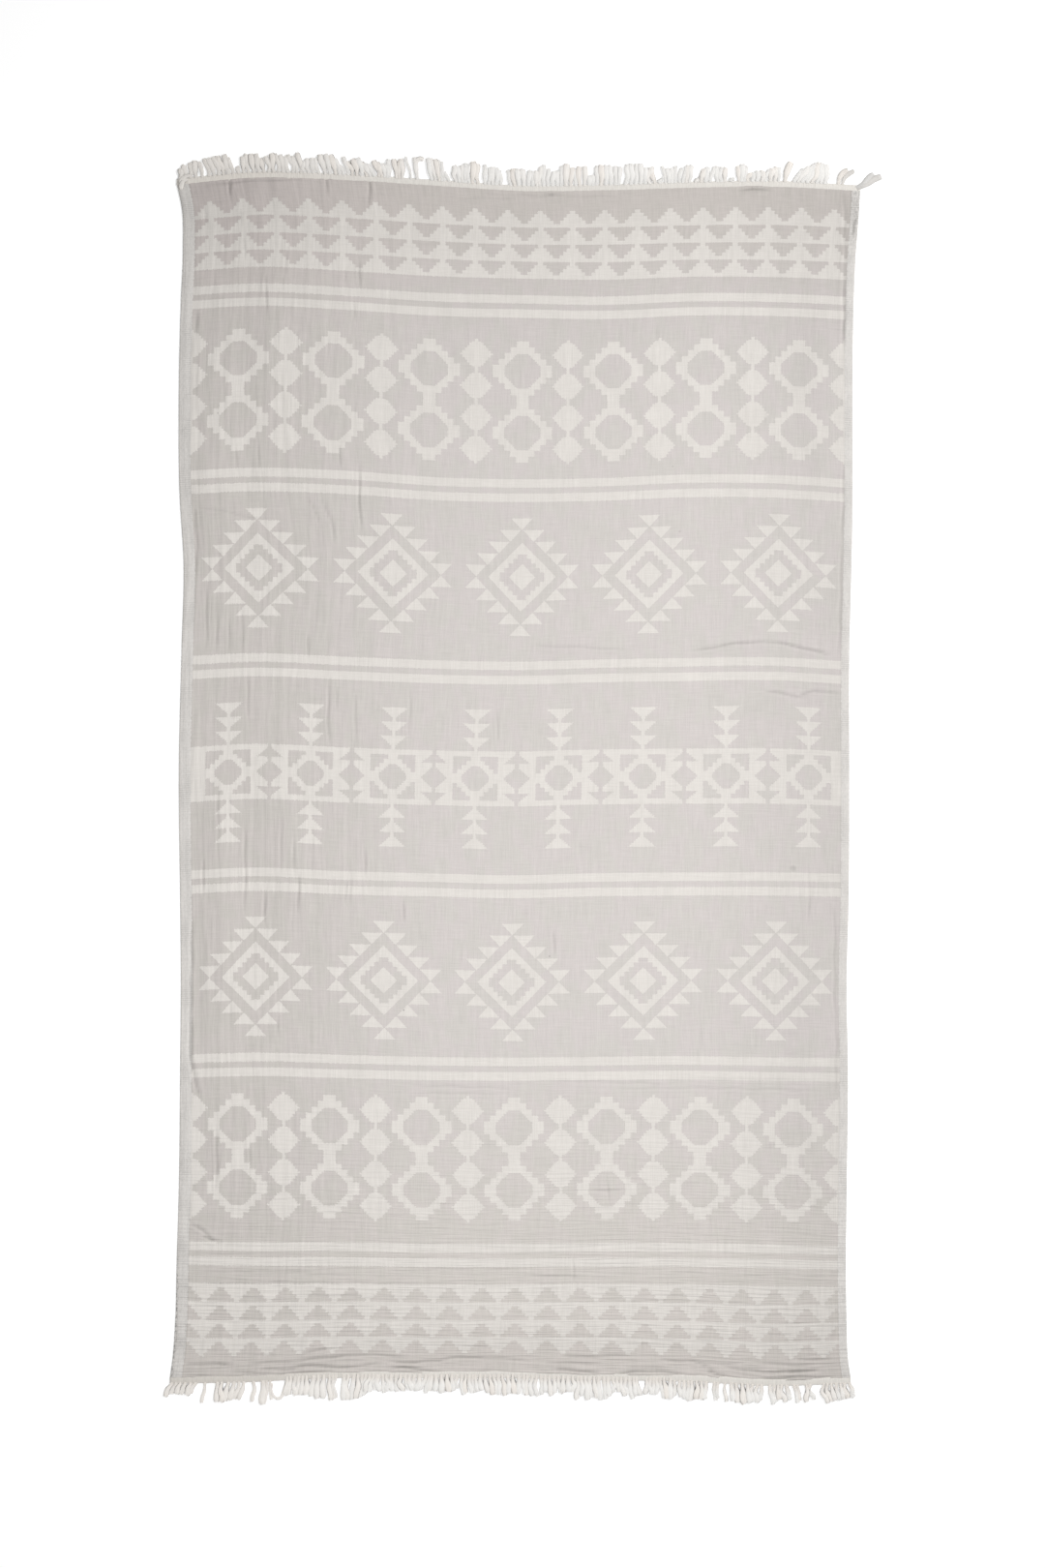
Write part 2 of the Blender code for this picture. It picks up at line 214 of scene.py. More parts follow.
# Locks that curl or loop: their width, and the X, Y and height of the points that each follows.
Curl = namedtuple("Curl", "width points")
FAR_CURLS = (
    Curl(6, ((-466, 871, 1.8), (-474, 871, 2.6), (-481, 866, 2.6), (-485, 858, 2.0))),
    Curl(6, ((-473, 866, 2.0), (-479, 863, 2.8), (-482, 857, 2.6), (-482, 850, 2.0))),
    Curl(
        5,
        ((-141, 866, 1.2), (-143, 879, 1.6), (-143, 891, 1.8), (-137, 896, 1.8), (-129, 893, 1.4)),
    ),
    Curl(6, ((468, 858, 1.2), (470, 868, 1.6), (476, 876, 1.8), (484, 880, 1.4))),
    Curl(5, ((474, 858, 1.2), (477, 867, 1.6), (484, 874, 1.8), (493, 879, 1.4))),
    Curl(7, ((494, 854, 1.2), (505, 860, 1.6), (513, 869, 1.8), (521, 875, 1.4))),
    Curl(7, ((495, 852, 1.2), (509, 859, 1.6), (520, 866, 1.8), (533, 871, 1.4))),
)
NEAR_CURLS = (
    Curl(
        4,
        (
            *((-351, -875, 1.2), (-352, -885, 1.6), (-348, -894, 1.6), (-342, -897, 1.4)),
            *((-337, -894, 1.6), (-333, -883, 1.6), (-330, -872, 1.2)),
        ),
    ),
)

# Creases pressed into the pattern side, each a soft trough between two low flanks. turn is the
# angle of its run from the cross threads, in degrees, and bend how far its middle bows off it.
Crease = namedtuple("Crease", "across along half_length turn bend half_width depth")
CREASES = table(
    Crease,
    (-453, 812, 14, 86, -0.7, 3, 0.3), (-412, 849, 14, 83, -0.4, 3.4, 0.9),
    (-402, 806, 14, 88, -0.6, 3, 0.3), (-274, 856, 14, 85, -0.4, 3.2, 0.7),
    (-216, 850, 25, 83, -0.8, 3.2, 0.75), (-47, 848, 51, 4, 0.7, 3, 0.2),
    (-38, 865, 71, -1, 1.1, 3, 0.35), (44, 854, 99, -1, 1.1, 3, 0.25),
    (87, 867, 58, -3, 0.8, 3, 0.3), (158, 875, 70, -2, 0.8, 3, 0.3),
    (335, 857, 19, 2, 0.6, 3.8, 1.1), (-397, 759, 17, 93, -0.7, 3, 0.35),
    (-337, 737, 19, 91, -0.6, 3, 0.35), (-253, 723, 11, 91, -0.4, 3, 0.35),
    (-232, 723, 18, 91, -0.4, 3, 0.45), (466, 793, 68, 94, -1.1, 3.6, 0.4),
    (-462, 651, 16, 91, -0.6, 4, 0.5), (-364, 689, 28, 92, -0.8, 3, 0.45),
    (-238, 673, 12, 91, -0.4, 3, 0.35), (470, 680, 54, 91, -0.7, 4, 0.7),
    (-402, 451, 17, 90, -0.6, 3, 0.4), (-370, 451, 18, 90, -0.6, 3, 0.4),
    (-257, 457, 16, 90, -0.4, 3, 0.4), (470, 403, 60, 89, -0.7, 3.6, 0.4),
    (-466, 334, 52, 89, -1.4, 4, 0.6), (-412, 373, 56, -14, 1.4, 4, 0.3),
    (-296, 379, 23, -69, 2.8, 3.2, 0.4), (-275, 366, 30, -74, 2.8, 3.2, 0.45),
    (-230, 400, 45, 90, 1.1, 3, 0.6), (-451, 226, 47, 93, -1.1, 3, 0.4),
    (-434, 221, 46, 92, 0.8, 3, 0.3), (-397, 208, 36, 93, -0.7, 3, 0.28),
    (469, 262, 87, 90, -0.8, 3.6, 0.4), (-416, 197, 27, 92, -0.6, 3, 0.3),
    (-387, 108, 31, 92, -0.8, 3, 0.4), (-302, 183, 17, 90, -0.6, 3, 0.45),
    (-259, 112, 15, 92, -0.7, 3, 0.3), (90, 189, 74, -4, 1.7, 3.4, 0.4),
    (309, 188, 54, 7, 2.2, 3.6, 0.8), (386, 118, 27, -7, 1.4, 3.4, 0.6),
    (406, 186, 53, -9, 2.8, 3.6, 0.8), (421, 121, 16, 18, 0.8, 3.4, 0.65),
    (452, 124, 21, -5, 1.1, 3.4, 0.5), (-267, 91, 51, 91, 2.8, 3.2, 0.5),
    (-231, 83, 36, 93, -1.1, 3, 0.28), (-153, 97, 36, 91, -0.8, 3, 0.3),
    (-25, 78, 26, 91, -0.6, 3, 0.3), (-429, -81, 61, 90, -1.1, 3, 0.3),
    (-337, -100, 44, 90, -1.1, 3, 0.35), (-451, -147, 27, 89, -0.8, 3.4, 0.45),
    (-390, -140, 67, 90, -1.4, 3.2, 0.55), (-361, -193, 23, 90, -0.7, 3.2, 0.55),
    (-318, -122, 21, 90, -0.7, 3, 0.45), (-311, -173, 25, 90, -0.6, 3.4, 0.65),
    (-242, -168, 14, 90, -0.6, 3, 0.4), (-235, -157, 28, 90, -0.6, 3, 0.28),
    (-214, -123, 16, 90, -0.6, 3, 0.4), (-158, -194, 15, 91, -0.6, 3, 0.45),
    (426, -169, 32, 91, -0.6, 3, 0.28), (-469, -289, 85, 89, 1.1, 4, 0.7),
    (62, -238, 20, 92, -0.4, 3, 0.45), (466, -265, 97, 91, -0.8, 3.6, 0.4),
    (-469, -394, 37, 93, 1.4, 4.5, 0.95), (-371, -369, 12, 90, -0.4, 3, 0.35),
    (-342, -367, 10, 90, -0.4, 3, 0.45), (-462, -439, 24, -74, -1.7, 4.2, 0.8),
    (-76, -457, 66, 0, 0.8, 3, 0.2), (-72, -448, 75, -1, 1.4, 3, 0.25),
    (141, -442, 101, -2, 1.4, 3, 0.25), (308, -451, 155, 0, 1.7, 3, 0.25),
    (343, -437, 106, 0, 1.1, 3, 0.22), (467, -408, 53, 88, -0.7, 3.6, 0.45),
    (-432, -544, 31, 92, -0.8, 3.2, 0.5), (-431, -577, 17, 91, -0.6, 3, 0.45),
    (-383, -550, 16, 91, -0.6, 3, 0.35), (137, -596, 25, -1, 0.4, 2.8, 0.35),
    (139, -596, 12, 90, -0.3, 2.8, 0.3), (-451, -657, 17, -33, 1, 4, 0.5),
    (-436, -669, 15, -18, 0.6, 3.6, 0.75), (-349, -714, 73, -2, 1.1, 3, 0.25),
    (-267, -730, 193, 0, 1.1, 3, 0.3), (-209, -749, 115, 0, 1.1, 3, 0.2),
    (-63, -708, 94, 1, 1.1, 3, 0.25), (56, -719, 45, -2, 0.8, 3, 0.3),
    (87, -709, 19, 89, -0.4, 3, 0.35), (210, -755, 115, -1, 1.1, 3, 0.2),
    (44, 857, 8, -5, 0.2, 3, 0.9), (479, 806, 11, 90, 0, 3, 0.9), (-375, 857, 80, 1, 1.2, 3, 0.4),
    (-434, -845, 33, -2, 1.4, 3.2, 0.6), (-416, -861, 45, -2, -0.6, 3, 0.5),
    (-409, -844, 10, -14, 0.6, 3.4, 0.7), (-373, -858, 26, -5, 1.9, 3, 0.5),
    (-352, -863, 34, -2, -0.9, 3.4, 0.8), (-337, -843, 35, 1, -0.1, 3, 0.5),
    (-330, -853, 29, -2, -1.1, 3, 0.5), (-320, -863, 16, 8, -0.8, 3.4, 0.7),
    (-286, -853, 29, 1, 2.2, 3.4, 0.8), (-278, -864, 29, -3, 2.7, 3.4, 0.9),
    (-275, -828, 26, 7, 0.3, 3, 0.6), (-274, -840, 35, 5, 0.1, 3.4, 0.8),
    (-248, -853, 23, -1, -1.5, 3.2, 0.7), (-236, -865, 27, 1, -1.1, 3.4, 0.9),
    (-229, -837, 27, 5, 0.9, 3.2, 0.7), (-214, -851, 23, 6, -1.5, 3, 0.5),
    (-199, -862, 24, 8, -1.0, 3.2, 0.7), (-179, -838, 31, -4, 1.2, 3, 0.5),
    (-150, -845, 21, -4, -2.6, 3.6, 0.9), (-148, -858, 23, -2, 2.8, 3.4, 0.9),
    (-117, -845, 23, 5, -0.3, 3.2, 0.7), (-112, -860, 25, -8, -1.5, 3.2, 0.7),
    (-72, -842, 34, 3, 3.2, 3.2, 0.7), (-64, -863, 35, 0, 0.6, 3.2, 0.6),
    (-17, -841, 36, -1, -0.5, 3, 0.5), (-9, -863, 31, -2, 0.1, 3.2, 0.7),
    (42, -865, 31, -1, -0.8, 3.2, 0.7), (83, -845, 40, -1, -1.9, 3, 0.45),
    (92, -866, 31, -1, 0.6, 3.4, 0.9), (92, -859, 34, -3, 1.6, 3.4, 0.9),
    (100, -837, 26, -4, 0.9, 3.2, 0.6), (135, -864, 23, 8, -1.3, 3.4, 0.7),
    (148, -835, 23, 4, 1.6, 3, 0.5), (171, -860, 25, 8, 1.5, 3.4, 0.8),
    (193, -853, 31, 0, 2.9, 3, 0.45), (215, -859, 31, -4, 1.7, 3.2, 0.6),
    (238, -839, 25, -3, -1.2, 3.2, 0.6), (257, -862, 26, -3, -0.9, 3, 0.5),
    (272, -846, 19, -23, 1.9, 3.2, 0.6), (296, -856, 19, -21, -2.9, 3.6, 1),
    (299, -840, 36, 3, -1.3, 3, 0.45), (329, -863, 29, -1, -0.6, 3.2, 0.7),
    (332, -848, 27, -5, -0.7, 3.2, 0.6), (375, -861, 28, 6, 0.4, 3.4, 0.9),
    (377, -850, 29, 0, -1.3, 3.2, 0.6), (392, -839, 45, -4, -1.4, 3, 0.45),
    (417, -849, 25, 4, -1.6, 3.8, 1), (424, -860, 36, -1, 1.2, 3.2, 0.7),
    (432, -832, 31, -3, -1.2, 3, 0.45),
)

CREASE_WAVER, WAVER_LENGTH = 0.8, 9  # how far a crease's line strays, and over what length
TROUGH_SHARE = 1.5  # a trough's real depth for each 1 of its row's depth
FLANK_PLACE, FLANK_SHARE = 1.4, 0.35  # in half widths from its line, and of its depth
DEEPEST = 1.0  # of any trough, so that none shows through the underside
CREASE_SHADE_HALF_WIDTH = 2.2  # of the shaded bottom of each crease

# Small marks that the cloth has picked up.
Mark = namedtuple("Mark", "across along radius strength")
MARKS = table(
    Mark,
    (403, -132, 6, 0.14), (-157, -337, 2.0, 0.35), (57, -257, 1.6, 0.35), (235, 355, 2.2, 0.12),
    (224, 450, 2.0, 0.12), (150, 437, 2.0, 0.10), (-429, 516, 1.8, 0.25),
)


# ----------------------
# Where places on the cloth lie.


def smooth_at(place, knots, values):
    """A smooth curve through values at rising knots, read at each place and held past both ends.
    Values may have one column for each place.
    """
    place = np.clip(place, knots[0], knots[-1])
    slopes = np.gradient(values, knots, axis=0)
    i = np.clip(np.searchsorted(knots, place) - 1, 0, len(knots) - 2)
    span = knots[i + 1] - knots[i]
    t = (place - knots[i]) / span
    own = (np.arange(len(place)),) if np.ndim(values) == 2 else ()
    here, there = (i, *own), (i + 1, *own)
    return (
        (1 + 2 * t) * (1 - t) ** 2 * values[here]
        + t * (1 - t) ** 2 * span * slopes[here]
        + t * t * (3 - 2 * t) * values[there]
        + t * t * (t - 1) * span * slopes[there]
    )


def column(rows, name):
    return np.array([getattr(row, name) for row in rows], float) * MM


def drift(rows, across, along):
    """How far a table of drifts moves places on the cloth."""
    stations = np.array(STATIONS) * MM
    read = np.array([smooth_at(across, stations, np.array(row[1:]) * MM) for row in rows])
    return smooth_at(along, column(rows, "along"), read)


def plan(across, along):
    """X and Y of places on the cloth, seen from above."""
    knots = column(EDGE_ROWS, "along")
    left = smooth_at(along, knots, column(EDGE_ROWS, "left"))
    right = smooth_at(along, knots, column(EDGE_ROWS, "right"))
    x = left + (across / CLOTH_WIDTH + 0.5) * (right - left)
    return x + drift(SWAY_ROWS, across, along), along + drift(BOW_ROWS, across, along)


def lift(across, along):
    """How high the underside lies at places on the cloth."""
    height = np.full(np.shape(across), LEAST_LIFT)
    for swell in SWELLS:
        a = (across / MM - swell.across) / swell.half_across
        b = (along / MM - swell.along) / swell.half_along
        height += swell.height * np.maximum(1 - a * a - b * b, 0) ** 2
    return height * MM


def along_crease(crease, across, along):
    """A place's shares along and off a crease: both are 0 at its middle and 1 at its ends."""
    turn = math.radians(crease.turn)
    a = across / MM - crease.across
    b = along / MM - crease.along
    run = (a * math.cos(turn) + b * math.sin(turn)) / crease.half_length
    waver = CREASE_WAVER * np.sin(crease.half_length / WAVER_LENGTH * run + crease.across)
    off = b * math.cos(turn) - a * math.sin(turn) - crease.bend * (1 - run * run) - waver
    return run, off / crease.half_width


def creased(across, along):
    """How far the creases raise the pattern side at places on the cloth, and how dark the painted
    shade in their troughs is there.
    """
    height = np.zeros(np.shape(across))
    crease_shade = np.zeros(np.shape(across))
    for crease in CREASES:
        run, off = along_crease(crease, across, along)
        depth = crease.depth * np.maximum(1 - run**4, 0) * (np.abs(run) < 1)
        trough = np.maximum(1 - off * off, 0) ** 2
        flanks = np.maximum(1 - (np.abs(off) - FLANK_PLACE) ** 2, 0) ** 2
        height -= TROUGH_SHARE * depth * (trough - FLANK_SHARE * flanks)
        # Painted shade along the bottom of each trough, darker the deeper the crease.
        crease_shade += depth * np.maximum(1 - (off * crease.half_width / CREASE_SHADE_HALF_WIDTH) ** 2, 0)
    return np.maximum(height, -DEEPEST) * MM, np.minimum(crease_shade, 1)


# ----------------------
# Shader maths.


def sum_node(operation):
    """A method that adds a Math node to a value's recipe."""
    return lambda value, *others: value.maths(operation, *others)


class Value:
    """A number that varies over a surface. Sums of values add their nodes to its recipe. Masks are
    numbers from 0 to 1: & takes the lower of two, | the higher, and ~ turns one round.
    """

    def __init__(self, recipe, socket):
        self.recipe = recipe
        self.socket = socket

    def maths(self, operation, *others):
        return self.recipe.maths(operation, self, *others)

    __add__ = __radd__ = sum_node("ADD")
    __mul__ = __rmul__ = sum_node("MULTIPLY")
    __sub__, __truediv__ = sum_node("SUBTRACT"), sum_node("DIVIDE")
    __lt__, __gt__ = sum_node("LESS_THAN"), sum_node("GREATER_THAN")
    __and__, __or__ = sum_node("MINIMUM"), sum_node("MAXIMUM")
    __abs__, whole = sum_node("ABSOLUTE"), sum_node("FLOOR")

    def __rsub__(self, other):
        return self.recipe.maths("SUBTRACT", other, self)

    def __neg__(self):
        return -1 * self

    def __invert__(self):
        return 1 - self

    def steps(self, unit):
        """How many steps of a unit it takes to reach this place, counted from one."""
        return (self / unit).maths("CEIL")

    def from_nearest(self, pitch, first=0):
        """The distance to the nearest of the places a pitch apart, one of which is first."""
        return (self - first).maths("PINGPONG", pitch / 2)

    def fade(self, start, end):
        """Rises smoothly from 0 at start to 1 at end, which may be the lower of the two."""
        ranging = {"interpolation_type": "SMOOTHSTEP"}
        return self.recipe.node(
            "ShaderNodeMapRange", ranging, {0: self, 1: start, 2: end, 3: 0.0, 4: 1.0}
        )


class Recipe:
    """A node tree, for a material or for geometry, and the one way in which it grows."""

    def __init__(self, tree):
        self.tree = tree

    def node(self, kind, settings=None, sockets=None, out=0):
        """Adds a node: its settings first, then the numbers or links of its sockets."""
        made = self.tree.nodes.new(kind)
        for name, setting in (settings or {}).items():
            setattr(made, name, setting)
        for key, item in (sockets or {}).items():
            if isinstance(item, Value):
                self.tree.links.new(item.socket, made.inputs[key])
            else:
                made.inputs[key].default_value = item
        return Value(self, made.outputs[out]) if made.outputs else None

    def maths(self, operation, *items):
        return self.node("ShaderNodeMath", {"operation": operation}, dict(enumerate(items)))

    def vector(self, x, y, z=0.0):
        return self.node("ShaderNodeCombineXYZ", sockets={0: x, 1: y, 2: z})

    def part(self, vector, axis):
        """One of the three numbers of a vector: 0 is X, 1 is Y and 2 is Z."""
        return self.node("ShaderNodeSeparateXYZ", sockets={0: vector}, out=axis)

    def vector_maths(self, operation, *items, out=0):
        return self.node(
            "ShaderNodeVectorMath", {"operation": operation}, dict(enumerate(items)), out
        )

    def scaled(self, vector, scale):
        return self.node(
            "ShaderNodeVectorMath", {"operation": "SCALE"}, {0: vector, "Scale": scale}
        )

    def noise(self, place, detail=2.0, roughness=0.5, out=0):
        """Uneven values round 0.5. The place is already divided by the size of its unevenness."""
        sockets = {"Vector": place, "Scale": 1.0, "Detail": detail, "Roughness": roughness}
        return self.node("ShaderNodeTexNoise", None, sockets, out)


class Finish(Recipe):
    """A material."""

    def __init__(self, name):
        self.material = bpy.data.materials.new(name)
        self.material.use_nodes = True
        super().__init__(self.material.node_tree)
        self.tree.nodes.clear()

    def kept(self, name, out=2):
        """A number that the mesh keeps with each point, or with out=1 a vector."""
        return self.node("ShaderNodeAttribute", {"attribute_name": name}, out=out)

    def place(self):
        """The place on the piece, in metres."""
        return self.node("ShaderNodeTexCoord", out=3)

    def mix(self, share, first, second, how="MIX"):
        """Mixes two colours by a share of the second."""
        settings = {"data_type": "RGBA", "blend_type": how}
        return self.node("ShaderNodeMix", settings, {0: share, 6: first, 7: second}, out=2)

    def shaded(self, colour, tone):
        """A colour made lighter or darker by a tone round 1."""
        shade = self.node("ShaderNodeCombineColor", sockets={0: tone, 1: tone, 2: tone})
        return self.mix(1.0, colour, shade, "MULTIPLY")

    def relief(self, height, strength=1.0):
        """The bump of a height in millimetres."""
        return self.node(
            "ShaderNodeBump", sockets={"Strength": strength, "Distance": MM, "Height": height}
        )

    def surface(self, colour, roughness, normal=None, **fixed):
        """The surface shader, with constants set on its own sockets."""
        sockets = {"Base Color": colour, "Roughness": roughness, **fixed}
        if normal:
            sockets["Normal"] = normal
        shader = self.node("ShaderNodeBsdfPrincipled", sockets=sockets)
        self.node("ShaderNodeOutputMaterial", sockets={"Surface": shader})
        return self.material


# ----------------------
# The woven pattern, in millimetres. It mirrors about the cloth's middle and repeats across it, so
# each size is given once. a is the place across from the field's middle, and b the distance from
# the cloth's middle. Each function gives 1 where the cream threads lie on top.

FIELD_FROM, FIELD_TO = -468, 473  # where the bands along the selvedges end, across
FIELD_WIDTH = FIELD_TO - FIELD_FROM
FIELD_MIDDLE = (FIELD_FROM + FIELD_TO) / 2


def double_stripes(b):
    """Pairs of stripes, each stripe as far from the middle of its pair."""
    inner, between, outer = (abs(b - pair) for pair in (155.1, 420.8, 688.2))
    off_middle, half_stripe = 10.5, 6.3
    return abs((inner & between & outer) - off_middle) < half_stripe


def middle_band(a, b):
    """Squares with a diamond in each, a stemmed diamond between them, and a tree over each."""
    pitch, sideways, half_band = 119.8, 3, 40
    a = a - sideways
    x = a.from_nearest(pitch, pitch / 2)

    # In the squares: four stepped grey corners and a grey eye.
    half_across, half_along = 32.6, 31.8
    row = ((half_along - b) / 6.1).whole()
    corner = (x < half_across) & (b < half_along) & (half_across - x < 25.6 - 6.4 * row)
    step = 2.9
    eye = (x + b.steps(step) * step < 24.6) & (x < 19.6) & (b < 18)

    # Between the squares, but not past the last ones: a knot, and an arrow on a stem each way.
    gap = a.from_nearest(pitch)
    half_stem, arrow_step = 2.6, 3.2
    stem = (gap < half_stem) & (b > 12)
    arrow = (b > 21.7) & (gap.steps(arrow_step) * arrow_step < (38 - b) * 1.22)
    knot = gap.steps(half_stem) * half_stem + b * 1.08 < 20.2
    between = (stem | arrow | knot) & (abs(a) < 3.7 * pitch)
    band = (b < half_band) & ~(corner | eye | between)

    # Over each square: three tiers of branches, each a stepped triangle, on a trunk.
    tier, tree_top, trunk_top = 20.75, 101.2, 99
    branch = (b - 38.95).maths("FLOORED_MODULO", tier)
    tree = (x < (branch - 4.4).steps(2.6) * 2.95) & (b < tree_top)
    trunk = (x < 2.4) & (b < trunk_top)
    return band | ((tree | trunk) & (b > half_band - 0.5))


def medallions(a, b):
    """A diamond with a stepped ring in it and a toothed border."""
    middle, step, tooth = 294.6, 6.6, 17.15
    x = a.from_nearest(FIELD_WIDTH / 5)
    y = abs(b - middle)
    reach = x + y
    steps = x.steps(step) + y.steps(step)
    diamonds = (reach < 19.6) | ((steps > 6.5) & (reach < 50.4))
    row = (y / tooth).whole()
    teeth = (abs(x + tooth * row - 4 * tooth) < 0.94 * (y - tooth * row)) & (row < 4.5)
    return diamonds | teeth


def chains(a, b):
    """Pairs of stepped rings, with a string of small diamonds between them."""
    pitch, middle = FIELD_WIDTH / 7, 549.6
    x = a.from_nearest(pitch)
    along = abs(b - middle)

    ring_middle, step, hole_step = 44.6, 8.6, 2.9
    y = abs(along - ring_middle)
    steps = ((x - 0.5).steps(step) | 1) + ((y - 0.5).steps(step) | 1)
    ring = (steps < 6.5) & (along < 88)
    hole = (x < 26.4) & (y < 24.8) & (x.steps(hole_step) * hole_step + y < 34.4)
    neck = (x < step) & (along < 12)

    bead_pitch, bead_step, string_end = 45.6, 3.4, 90.6
    side = a.from_nearest(pitch, pitch / 2)
    string = along.from_nearest(bead_pitch, bead_pitch / 2)
    bead = (side.steps(bead_step) * bead_step + 0.885 * string < 24.9) & (string < 18.2)
    thread = (side < 2.4) & (string < 22.9)
    return (ring & ~hole) | neck | ((bead | thread) & (along < string_end))


def triangles(a, b):
    """Four rows of triangles that point inwards, under a thin line each."""
    first, last, row_pitch, line = 729.6, 832.5, 25.72, 5.8
    x = a.from_nearest(FIELD_WIDTH / 20)
    place = (b - first).maths("FLOORED_MODULO", row_pitch)
    point = x < (place - line).steps(4.98) * 4.9
    return (b > first) & (b < last) & ~(point & (place > line))


def woven_pattern(a, b):
    inner = double_stripes(b) | middle_band(a, b) | medallions(a, b)
    return inner | chains(a, b) | triangles(a, b)


# ----------------------
# Materials.

GREY_YARN = (0.584, 0.556, 0.526, 1.0)
PINKISH_GREY_YARN = (0.586, 0.545, 0.529, 1.0)
WARM_GREY_YARN = (0.586, 0.552, 0.506, 1.0)
ROSY_GREY_YARN = (0.592, 0.538, 0.515, 1.0)
CREAM_YARN = (0.680, 0.648, 0.611, 1.0)
SELVEDGE_YARN = (0.642, 0.618, 0.591, 1.0)
CREAM_HEADING = (0.70, 0.675, 0.635, 1.0)
WARM_HEADING = (0.70, 0.655, 0.60, 1.0)
FRINGE_YARN = (0.84, 0.825, 0.80, 1.0)
WARM_FRINGE_YARN = (0.815, 0.765, 0.712, 1.0)


def flat_place(finish):
    """The place on the flat cloth, across and along, in millimetres."""
    flat = finish.node("ShaderNodeUVMap", {"uv_map": "flat"})
    u, v = finish.part(flat, 0), finish.part(flat, 1)
    return (u - 0.5) * (CLOTH_WIDTH / MM), (v - 0.5) * (CLOTH_LENGTH / MM)


def marks(finish, across, along):
    """How dark the small marks are. Each is full inside a third of its radius."""
    dark = 0.0
    for mark in MARKS:
        gap = finish.vector(across - mark.across, along - mark.along)
        gap = finish.vector_maths("LENGTH", gap, out=1)
        dark = dark + mark.strength * gap.fade(mark.radius, 0.35 * mark.radius)
    return dark


def cloth_material():
    """The double cloth: grey ground, cream figures, slubby threads and the bands at the sides."""
    finish = Finish("woven cotton")
    across, along = flat_place(finish)
    leftward, nearward = (-across).fade(60, 430), (-along).fade(380, 800)
    ends, far_corner = abs(along).fade(690, 850), along.fade(480, 860)

    def patches(wide, long, detail):
        """Unevenness round 0.5, in patches of a size in millimetres."""
        return finish.noise(finish.vector(across / wide, along / long), detail)

    # Single threads float past the edges of the figures, so that they look toothed.
    cross_float = patches(6, 1.2, 1.0) - 0.5
    long_float = finish.noise(finish.vector(across / 1.2 + 50, along / 6), detail=1.0) - 0.5
    a = across - FIELD_MIDDLE + cross_float * (3.4 + 5 * nearward)
    b = abs(along + long_float * (2.4 + 2.4 * leftward))
    cream = abs(woven_pattern(a, b) - (finish.kept("under") > 0.5))

    # The yarns. Their greys drift in soft clouds, and warm up towards the left and both ends.
    warp, weft = patches(1.5, 30, 3.0) - 0.5, patches(30, 1.5, 3.0) - 0.5
    slub, cloud = patches(5, 70, 2.0) - 0.5, patches(30, 42, 3.0)
    grey = finish.mix(cloud.fade(0.42, 0.58), GREY_YARN, PINKISH_GREY_YARN)
    grey = finish.mix(0.55 * (nearward | ends | 0.6 * leftward), grey, WARM_GREY_YARN)
    rosy = along.fade(600, 830) * (0.3 + 0.7 * leftward) | (-along).fade(720, 830) * 0.25
    grey = finish.mix(rosy, grey, ROSY_GREY_YARN)
    body = finish.mix(cream, grey, CREAM_YARN)

    # The bands along the selvedges, which begin with an uneven line.
    fray = patches(2.4, 4, 1.0) - 0.5
    side = abs(across - FIELD_MIDDLE) - FIELD_WIDTH / 2 + 3 * fray
    band = side > 0
    body = finish.mix(band, body, SELVEDGE_YARN)

    # Painted shade where the light falls off: greys darker to the left and at the far end, creams
    # much less so, and all darker at both ends, at the far left corner and towards the right edge.
    depth = leftward | (far_corner * 0.8)
    tone = 1 - (0.09 * (1 - cream) + 0.02 * cream * leftward) * depth * (1 - band)
    tone = tone - (0.035 + 0.02 * far_corner * leftward) * ends + 0.04 * nearward * leftward * ends
    tone = tone - 0.08 * far_corner * (-across).fade(200, 480) * (1 - 0.8 * band)
    tone = tone - 0.09 * across.fade(240, 500) * (1 - 0.3 * band)
    tone = tone - 0.035 * cream * leftward * (-along).fade(788, 800)
    tone = tone + 0.20 * warp + 0.16 * weft + 0.10 * slub + 0.10 * (cloud - 0.5)

    # In the bands, here and there a darker cross thread.
    ticks = (along.from_nearest(3.1) < 0.8) & band
    ticks = ticks * patches(40, 50, 2.0).fade(0.45, 0.6)
    # A painted shadow runs along each band's inner edge, where the field's edge lies over it. The
    # bands are also darker to the left.
    tone = tone - 0.10 * ticks - 0.06 * (1 - abs(side + 0.5).fade(0.4, 1.8)) + 0.22 * fray * band
    tone = tone - (0.04 * leftward + nearward * (0.06 * leftward - 0.04)) * band

    # Their outer edges are rougher at two corners.
    knotted = across.fade(462, 484) * along.fade(740, 840)
    frayed = (-across).fade(479, 484) * (-along).fade(640, 760)
    tone = tone - knotted * (0.1 - 0.5 * fray) - 0.5 * frayed * (fray + 0.5).fade(0.45, 0.65)
    # Painted shade along the bottom of each crease, darker at the near end, then the small marks.
    tone = tone - (0.24 + 0.07 * nearward) * finish.kept("crease_shade") - marks(finish, across, along)

    # Relief, in millimetres: threads, puckers along the cloth and crinkles across it.
    pucker, crinkle = patches(11, 150, 1.5), patches(75, 3.4, 1.5)
    height = 0.25 * warp + 0.25 * weft + 0.1 * cream
    height = height + pucker * (0.4 + 1.6 * leftward)
    height = height + crinkle * (0.35 + 1.5 * nearward + 0.5 * far_corner)
    return finish.surface(finish.shaded(body, tone), 0.92, finish.relief(height))


def fringe_zones(finish, place):
    """How far to the left a place on a fringe is, and whether it is at the near end."""
    return (-finish.part(place, 0)).fade(0.18, 0.42), finish.part(place, 1) < 0


